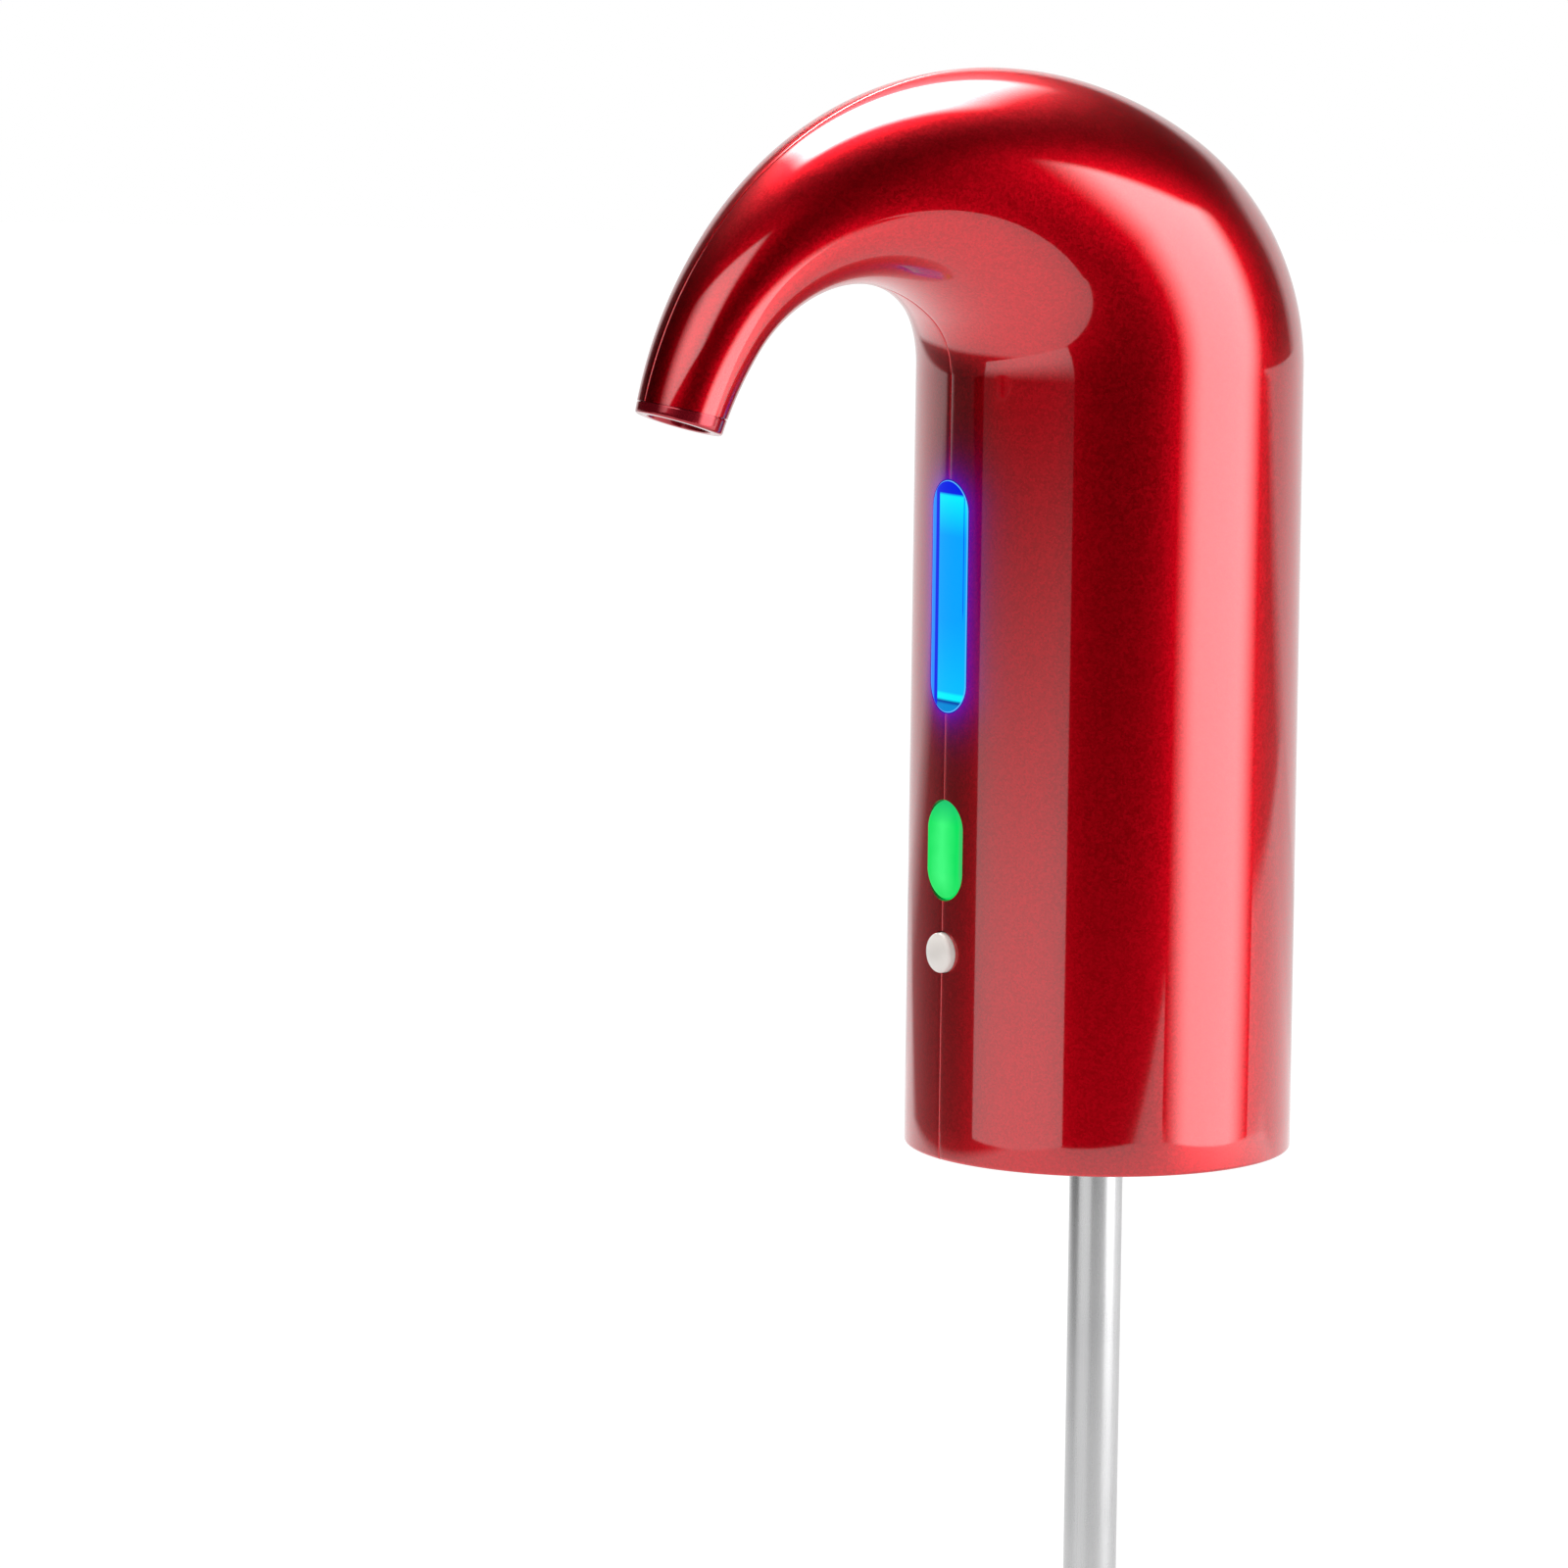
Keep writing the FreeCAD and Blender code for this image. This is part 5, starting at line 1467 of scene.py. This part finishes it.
def screws():
    """the four sets of screws"""
    circle = [(base_screw_circle * math.cos(a), base_screw_circle * math.sin(a), -18.7 * mm)
              for a in (math.radians(45 + 90 * k) for k in range(4))]
    posts = [(x, side * y, at(frame_foot) + 2.0 * mm) for x, y in frame_posts for side in (-1, 1)]
    pads = [(-board_front, side * board_screw_y, at(z)) for z in board_screw_heights for side in (-1, 1)]
    lugs = [(pump_x - 5.0 * mm, side * 9.0 * mm, at(frame_foot)) for side in (-1, 1)]
    down = (math.pi, 0.0, 0.0)
    sets = [
        ("base_screws", circle, 1.2, 2.3, 1.0, 10.0, 1.0, down),
        ("frame_screws", posts, 1.0, 1.9, 1.1, 6.0, 0.8, (0.0, 0.0, 0.0)),
        ("pump_screws", lugs, 1.0, 1.8, 1.0, 4.0, 0.8, down),
        ("board_screws", pads, 0.8, 1.7, 1.2, 4.5, 0.6, (0.0, -math.pi / 2, 0.0)),
    ]
    for node, places, shank, head, rise, length, pitch, turn in sets:
        piece = grown(
            node + "_set", pan_head, points=places, shank=shank * mm, head=head * mm, rise=rise * mm,
            length=length * mm, pitch=pitch * mm, turn=turn, finish=finishes["screw_steel"],
        )
        dress(smooth(reworked(piece, lambda shape: None), 40), node)


def circuit_board():
    """board with its screw holes, a controller, a plug for the leads and small parts on its front"""
    low = (-board_front, -board_half, at(board_bottom))
    high = (-board_front + board_thickness, board_half, at(board_top))
    board = block("board", low, high, 0.12)
    holes = []
    for z in board_screw_heights:
        for y in (-board_screw_y, board_screw_y):
            near, far = (-board_front - mm, y, at(z)), (-board_front + 3 * mm, y, at(z))
            holes.append(rod("board_hole", 1.0 * mm, near, far))
    cut_away(board, holes)
    controller = (62.0, 0.0, 5.0, 5.0, 1.0)
    lead_plug = (38.3, 0.0, 3.0, 8.0, 2.6)
    small_parts = [
        (54.5, -4.2, 2.0, 3.0, 1.3), (54.5, 3.6, 3.0, 2.6, 1.1), (64.0, -4.6, 1.2, 2.0, 0.8),
        (38.0, -8.5, 2.0, 1.2, 0.8), (42.0, -8.5, 2.0, 1.2, 0.8), (38.0, 8.5, 2.0, 1.2, 0.8),
        (42.0, 8.5, 3.0, 3.0, 1.2),
    ]
    small_parts += [(height, side, 0.8, 1.6, 0.5) for height in (58.0, 61.0) for side in (-4.6, 4.6)]
    small_parts.append((64.0, 4.6, 0.8, 1.6, 0.5))
    parts = []
    for height, side, tall, wide, thick in [controller, lead_plug] + small_parts:
        low = (-board_front - thick * mm, (side - wide / 2) * mm, at((height - tall / 2) * mm))
        high = (-board_front + 0.1 * mm, (side + wide / 2) * mm, at((height + tall / 2) * mm))
        parts.append(block("board_part", low, high, 0.1))
    return dress(finished(joined(board, parts)), "circuit_board")


def light_pieces():
    """light guide behind the window, its four emitters and the two beside the power button's switch"""
    skirt_back = skin_outline(102.25 * mm) - wall - 1.05 * mm
    front = math.sqrt(skirt_back ** 2 - guide_half ** 2) - 0.1 * mm
    middle = at(guide_height)
    low = (-front, -guide_half, middle - guide_reach)
    high = (-board_front - 1.2 * mm, guide_half, middle + guide_reach)
    dress(finished(block("guide_bar", low, high, 0.7, 4)), "light_guide")
    white = finishes["led_white"]
    first = middle - 1.5 * emitter_pitch
    low = (-board_front - 1.1 * mm, -1.5 * mm, first - 1.5 * mm)
    emitter = block("emitter", low, (-board_front, 1.5 * mm, first + 1.5 * mm), 0.12)
    near, far = (-board_front - 2 * mm, 0, first), (-board_front - 0.9 * mm, 0, first)
    cut_away(emitter, [rod("emitter_well", 1.15 * mm, near, far)])
    spacing = (0.0, 0.0, emitter_pitch)
    row = grown("emitter_row", repeated, source=emitter, count=4, step=spacing, finish=white)
    dress(finished(row), "light_emitters")
    middle = at(lamp_height)
    low = (-board_front - 0.8 * mm, -5.2 * mm, middle - mm)
    lamp = block("lamp", low, (-board_front, -4.0 * mm, middle + mm), 0.1)
    pair = grown("lamp_pair", repeated, source=lamp, count=2, step=(0.0, 9.2 * mm, 0.0), finish=white)
    dress(finished(pair), "button_lights")


def port_cover():
    """soft flap that follows the housing's back, with a plug for the port and a scoop for a fingernail"""
    outer = skin_outline(port_height)
    width, height = cover_width - 2 * cover_gap, cover_height - 2 * cover_gap
    # the lens is upright here and is turned on its side below, so its face bends with z
    face = curved(outer)
    flap = lens("cover", height, width, port_height, lambda y, z: face(z, y), outer - 1.55 * mm, 0.3 * mm)
    middle = Matrix.Translation((0, 0, at(port_height)))
    turn = Matrix.Rotation(math.pi, 4, "Z") @ Matrix.Rotation(math.pi / 2, 4, "X")
    flap.data.transform(middle @ turn @ middle.inverted())
    hollow = upright_core("flap_room", outer - 0.9 * mm, at(0), at(25 * mm))
    scoop_x, scoop_z = outer + 2.55 * mm, at(port_height) + height / 2 - 0.7 * mm
    scoop = rod("scoop", 3.0 * mm, (scoop_x, -2.5 * mm, scoop_z), (scoop_x, 2.5 * mm, scoop_z))
    cut_away(flap, [hollow, scoop])
    plug = [(y, z) for z, y in stadium_outline(2.7 * mm, 8.4 * mm)]
    plug = prism("cover_plug", plug, port_height, outer - 1.8 * mm, outer - 0.7 * mm)
    return dress(finished(joined(flap, [plug])), "port_cover")


def merged_copy(node, edge=0.1, finish=None):
    """the node's own shape with its triangles joined up and its edges rounded"""
    source = frame["nodes"][node]
    piece = new_piece(node + "_form", source.data.copy())

    def merge(shape):
        bmesh.ops.remove_doubles(shape, verts=shape.verts, dist=1e-6)
        bmesh.ops.dissolve_limit(shape, angle_limit=math.radians(1), verts=shape.verts, edges=shape.edges)

    reworked(piece, merge)
    bend = piece.modifiers.new("edges", "BEVEL")
    bend.width = edge * mm
    bend.segments = 2
    bend.limit_method = "ANGLE"
    bend.angle_limit = math.radians(40)
    bend.use_clamp_overlap = False
    settled(piece)
    return dress(finished(piece, 32), node, finish)


crook = crook_tree()
pan_head = screw_tree()
repeated = row_tree()
housing_half("left_housing", -1.0, crook)
housing_half("right_housing", 1.0, crook)
spout_collar()
spout_nozzle()
light_window()
power_button()
small_button()
port_cover()
base_socket()
stopper()
flow_connector()
tubes()
hoses()
pump_pieces()
battery()
circuit_board()
light_pieces()
screws()
for node in (
    "inner_frame", "pump_head", "power_switch", "power_switch_plunger", "small_switch",
    "small_switch_plunger", "charge_board",
):
    merged_copy(node)
merged_copy("usb_socket", 0.06, socket_steel())


# Studio: the camera, white paper, a wide softbox on the left, a bright one on the right and a white wall
# behind


camera_azimuth = -36.28
camera_distance = 1241.95 * mm
camera_height = 208.42 * mm
camera_yaw = 2.20
camera_pitch = 8.03
camera_roll = 0.656
camera_lens = 192.32
paper_front = 0.62
paper_level = cad_box[0].z - 0.2 * mm
tube_travel = 118.0 * mm


def around(azimuth, distance, height):
    """place round the object: azimuth from the camera's side, positive to the right of the picture"""
    angle = math.radians(camera_azimuth + azimuth)
    return Vector((math.sin(angle) * distance, -math.cos(angle) * distance, height))


def studio_camera():
    heading = math.radians(camera_azimuth + camera_yaw)
    pitch = math.radians(camera_pitch)
    roll = math.radians(camera_roll)
    level_ahead = Vector((-math.sin(heading), math.cos(heading), 0))
    ahead = level_ahead * math.cos(pitch) - Vector((0, 0, math.sin(pitch)))
    level = ahead.cross(Vector((0, 0, 1))).normalized()
    upright = level.cross(ahead)
    right = level * math.cos(roll) + upright * math.sin(roll)
    up = upright * math.cos(roll) - level * math.sin(roll)
    lens_data = bpy.data.cameras.new("camera")
    lens_data.lens = camera_lens
    lens_data.sensor_width = 36.0
    lens_data.clip_start = 0.01
    holder = bpy.data.objects.new("camera", lens_data)
    scene.collection.objects.link(holder)
    turn = Matrix((right, up, -ahead)).transposed()
    holder.matrix_world = Matrix.Translation(around(0, camera_distance, camera_height)) @ turn.to_4x4()
    scene.camera = holder


def softbox(name, place, target, width, tall, level, edges, foot=None, lean=0.0):
    """flat glowing screen that faces a target: level 1 shows as paper white, edges are the shares of it
    over which it fades at the left, right, bottom and top, and foot is the level at its lower end"""
    corners = [(-0.5, -0.5), (0.5, -0.5), (0.5, 0.5), (-0.5, 0.5)]
    mesh = bpy.data.meshes.new(name)
    mesh.from_pydata([(x * width, y * tall, 0) for x, y in corners], [], [[0, 1, 2, 3]])
    screen = new_piece(name, mesh)
    screen.location = place
    facing = (target - place).to_track_quat("Z", "Y").to_matrix()
    screen.rotation_euler = (facing @ Matrix.Rotation(math.radians(lean), 3, "Z")).to_euler()
    screen.visible_camera = False
    finish = bpy.data.materials.new(name)
    finish.use_nodes = True
    tree = finish.node_tree
    tree.nodes.remove(tree.nodes["Principled BSDF"])
    split = tree.nodes.new("ShaderNodeSeparateXYZ")
    tree.links.new(tree.nodes.new("ShaderNodeTexCoord").outputs["Object"], split.inputs[0])
    across = Value(tree, split.outputs[0]) / width + 0.5
    up = Value(tree, split.outputs[1]) / tall + 0.5
    shown = Value(tree, tree.nodes.new("ShaderNodeNewGeometry").outputs["Backfacing"]) * -1 + 1
    for inwards, fade in zip((across, 1 - across, up, 1 - up), edges):
        if fade > 0:
            ramp = limited(inwards / fade, 0, 1)
            shown = shown * (ramp * ramp * (3 - ramp * 2))
    bright = level if foot is None else up * (level - foot) + foot
    glow = tree.nodes.new("ShaderNodeEmission")
    feed(tree, shown * bright, glow.inputs["Strength"])
    tree.links.new(glow.outputs[0], tree.nodes["Material Output"].inputs[0])
    mesh.materials.append(finish)


def side_box(name, azimuth, spread, low, high, level, edges, foot=None, lean=0.0, distance=0.80):
    """upright screen that spans an azimuth and a height, as the object sees it"""
    width = 2 * distance * math.tan(math.radians(spread / 2))
    middle = (low + high) / 2
    place = around(azimuth, distance, middle)
    softbox(name, place, Vector((0, 0, middle)), width, high - low, level, edges, foot, lean)


def way_round(tree, x, y):
    """how far a direction points to the camera's side and to the right of the picture"""
    length = (x * x + y * y).math("SQRT").math("MAXIMUM", 1e-6)
    ahead = around(0, 1, 0)
    aside = around(90, 1, 0)
    return (x * ahead.x + y * ahead.y) / length, (x * aside.x + y * aside.y) / length


def studio_paper():
    """white paper under and behind the object: it ends in front, and the glow that reflections and bounces see
    is painted: a pool of painted light under the right softbox and painted shade at the far left and right.
    The object reflects a sheet just under its foot, and the camera sees a floor so far below it that the
    drawn-out tube stays clear of it"""
    ends = [(-4.0, paper_front - 0.8), (4.0, paper_front + 0.8), (4.0, -5.0), (-4.0, -5.0)]
    ahead = around(0, 1, 0)
    aside = around(90, 1, 0)

    def sheet(name, level):
        corners = [aside * across + ahead * along + Vector((0, 0, level)) for across, along in ends]
        return solid_from(name, corners, [[0, 1, 2, 3]])

    paper = sheet("reflected_paper", paper_level)
    paper.visible_camera = False
    paper.visible_shadow = False
    floor = sheet("studio_floor", paper_level - tube_travel)
    finish = bpy.data.materials.new("studio_paper")
    finish.use_nodes = True
    tree = finish.node_tree
    shader = tree.nodes["Principled BSDF"]
    shader.inputs["Base Color"].default_value = (0.60, 0.60, 0.60, 1)
    shader.inputs["Roughness"].default_value = 0.9
    shader.inputs["Specular IOR Level"].default_value = 0.0
    split = tree.nodes.new("ShaderNodeSeparateXYZ")
    tree.links.new(tree.nodes.new("ShaderNodeTexCoord").outputs["Object"], split.inputs[0])
    x, y = Value(tree, split.outputs[0]), Value(tree, split.outputs[1])
    along = x * ahead.x + y * ahead.y
    across = x * aside.x + y * aside.y

    def past(value, edge, soft=0.08):
        return limited((value - edge) / soft, 0, 1)

    # painted light in the paper's glow for reflections and bounces: brighter near the object and behind it, a
    # painted pool under the right softbox, and painted shade at the far left and right
    close = past(across, -0.50) * past(0 - across, -1.1) * past(along, -1.0, 0.3)
    right = past(across, 0.28, 0.3) * past(0 - across, -0.70)
    right = right * past(along, -0.35) * past(0 - along, -0.5, 0.4)
    behind = past(0 - along, 0.75, 0.3)
    lit = limited(close + behind * 0.8, 0, 0.95) + right * 0.7 + 0.05
    far = past((x * x + y * y).math("SQRT"), 0.5, 0.4)
    glow = tree.nodes.new("ShaderNodeEmission")
    seen = Value(tree, tree.nodes.new("ShaderNodeLightPath").outputs["Is Camera Ray"])
    feed(tree, lit * (1 - seen) + seen * (far * 0.07 + 1.06), glow.inputs["Strength"])
    mix = tree.nodes.new("ShaderNodeMixShader")
    feed(tree, 0.985 - seen * 0.085, mix.inputs[0])
    tree.links.new(shader.outputs[0], mix.inputs[1])
    tree.links.new(glow.outputs[0], mix.inputs[2])
    tree.links.new(mix.outputs[0], tree.nodes["Material Output"].inputs[0])
    for one in (paper, floor):
        one.data.materials.append(finish)


def studio_world():
    """white to the camera, a white wall behind the object and dark elsewhere"""
    world = bpy.data.worlds.new("studio")
    scene.world = world
    world.use_nodes = True
    tree = world.node_tree
    back = tree.nodes["Background"]
    back.inputs["Color"].default_value = (1, 1, 1, 1)
    way = tree.nodes.new("ShaderNodeSeparateXYZ")
    tree.links.new(tree.nodes.new("ShaderNodeTexCoord").outputs["Generated"], way.inputs[0])
    x, y, up = (Value(tree, way.outputs[k]) for k in range(3))
    toward, right = way_round(tree, x, y)
    wall_share = limited((-toward - 0.70 + limited(right, -1, 0) * 0.10) * 9.0, 0, 1)
    wall_share = wall_share * limited((0.38 - up) * 9.0, 0, 1)
    path = tree.nodes.new("ShaderNodeLightPath")
    seen = Value(tree, path.outputs["Is Camera Ray"])
    soft = Value(tree, path.outputs["Is Diffuse Ray"])
    feed(tree, limited(wall_share * 0.8 + seen + soft * 0.6, 0, 1), back.inputs["Strength"])


studio_camera()
studio_world()
studio_paper()
side_box("left_softbox", -33, 60, 0.25, 0.88, 2.2, (0.15, 0.45, 0.05, 0.12), None, -12.0)
side_box("left_card", -49, 58, paper_level, 0.065, 1.0, (0.0, 0.0, 0.0, 0.72), 1.35, 0.0, 0.55)
side_box("right_softbox", 73.5, 60, paper_level - 0.1, 0.61, 5.4, (0.30, 0.30, 0.0, 0.08), 3.2, 12.0, 0.60)
top_place = around(-167, 0.36, 0.84)
softbox("top_softbox", top_place, Vector((0, 0, 0.12)), 0.72, 0.72, 20.0, (0.2, 0.5, 0.2, 0.25), None, 6.0)
scene.view_settings.view_transform = "Standard"
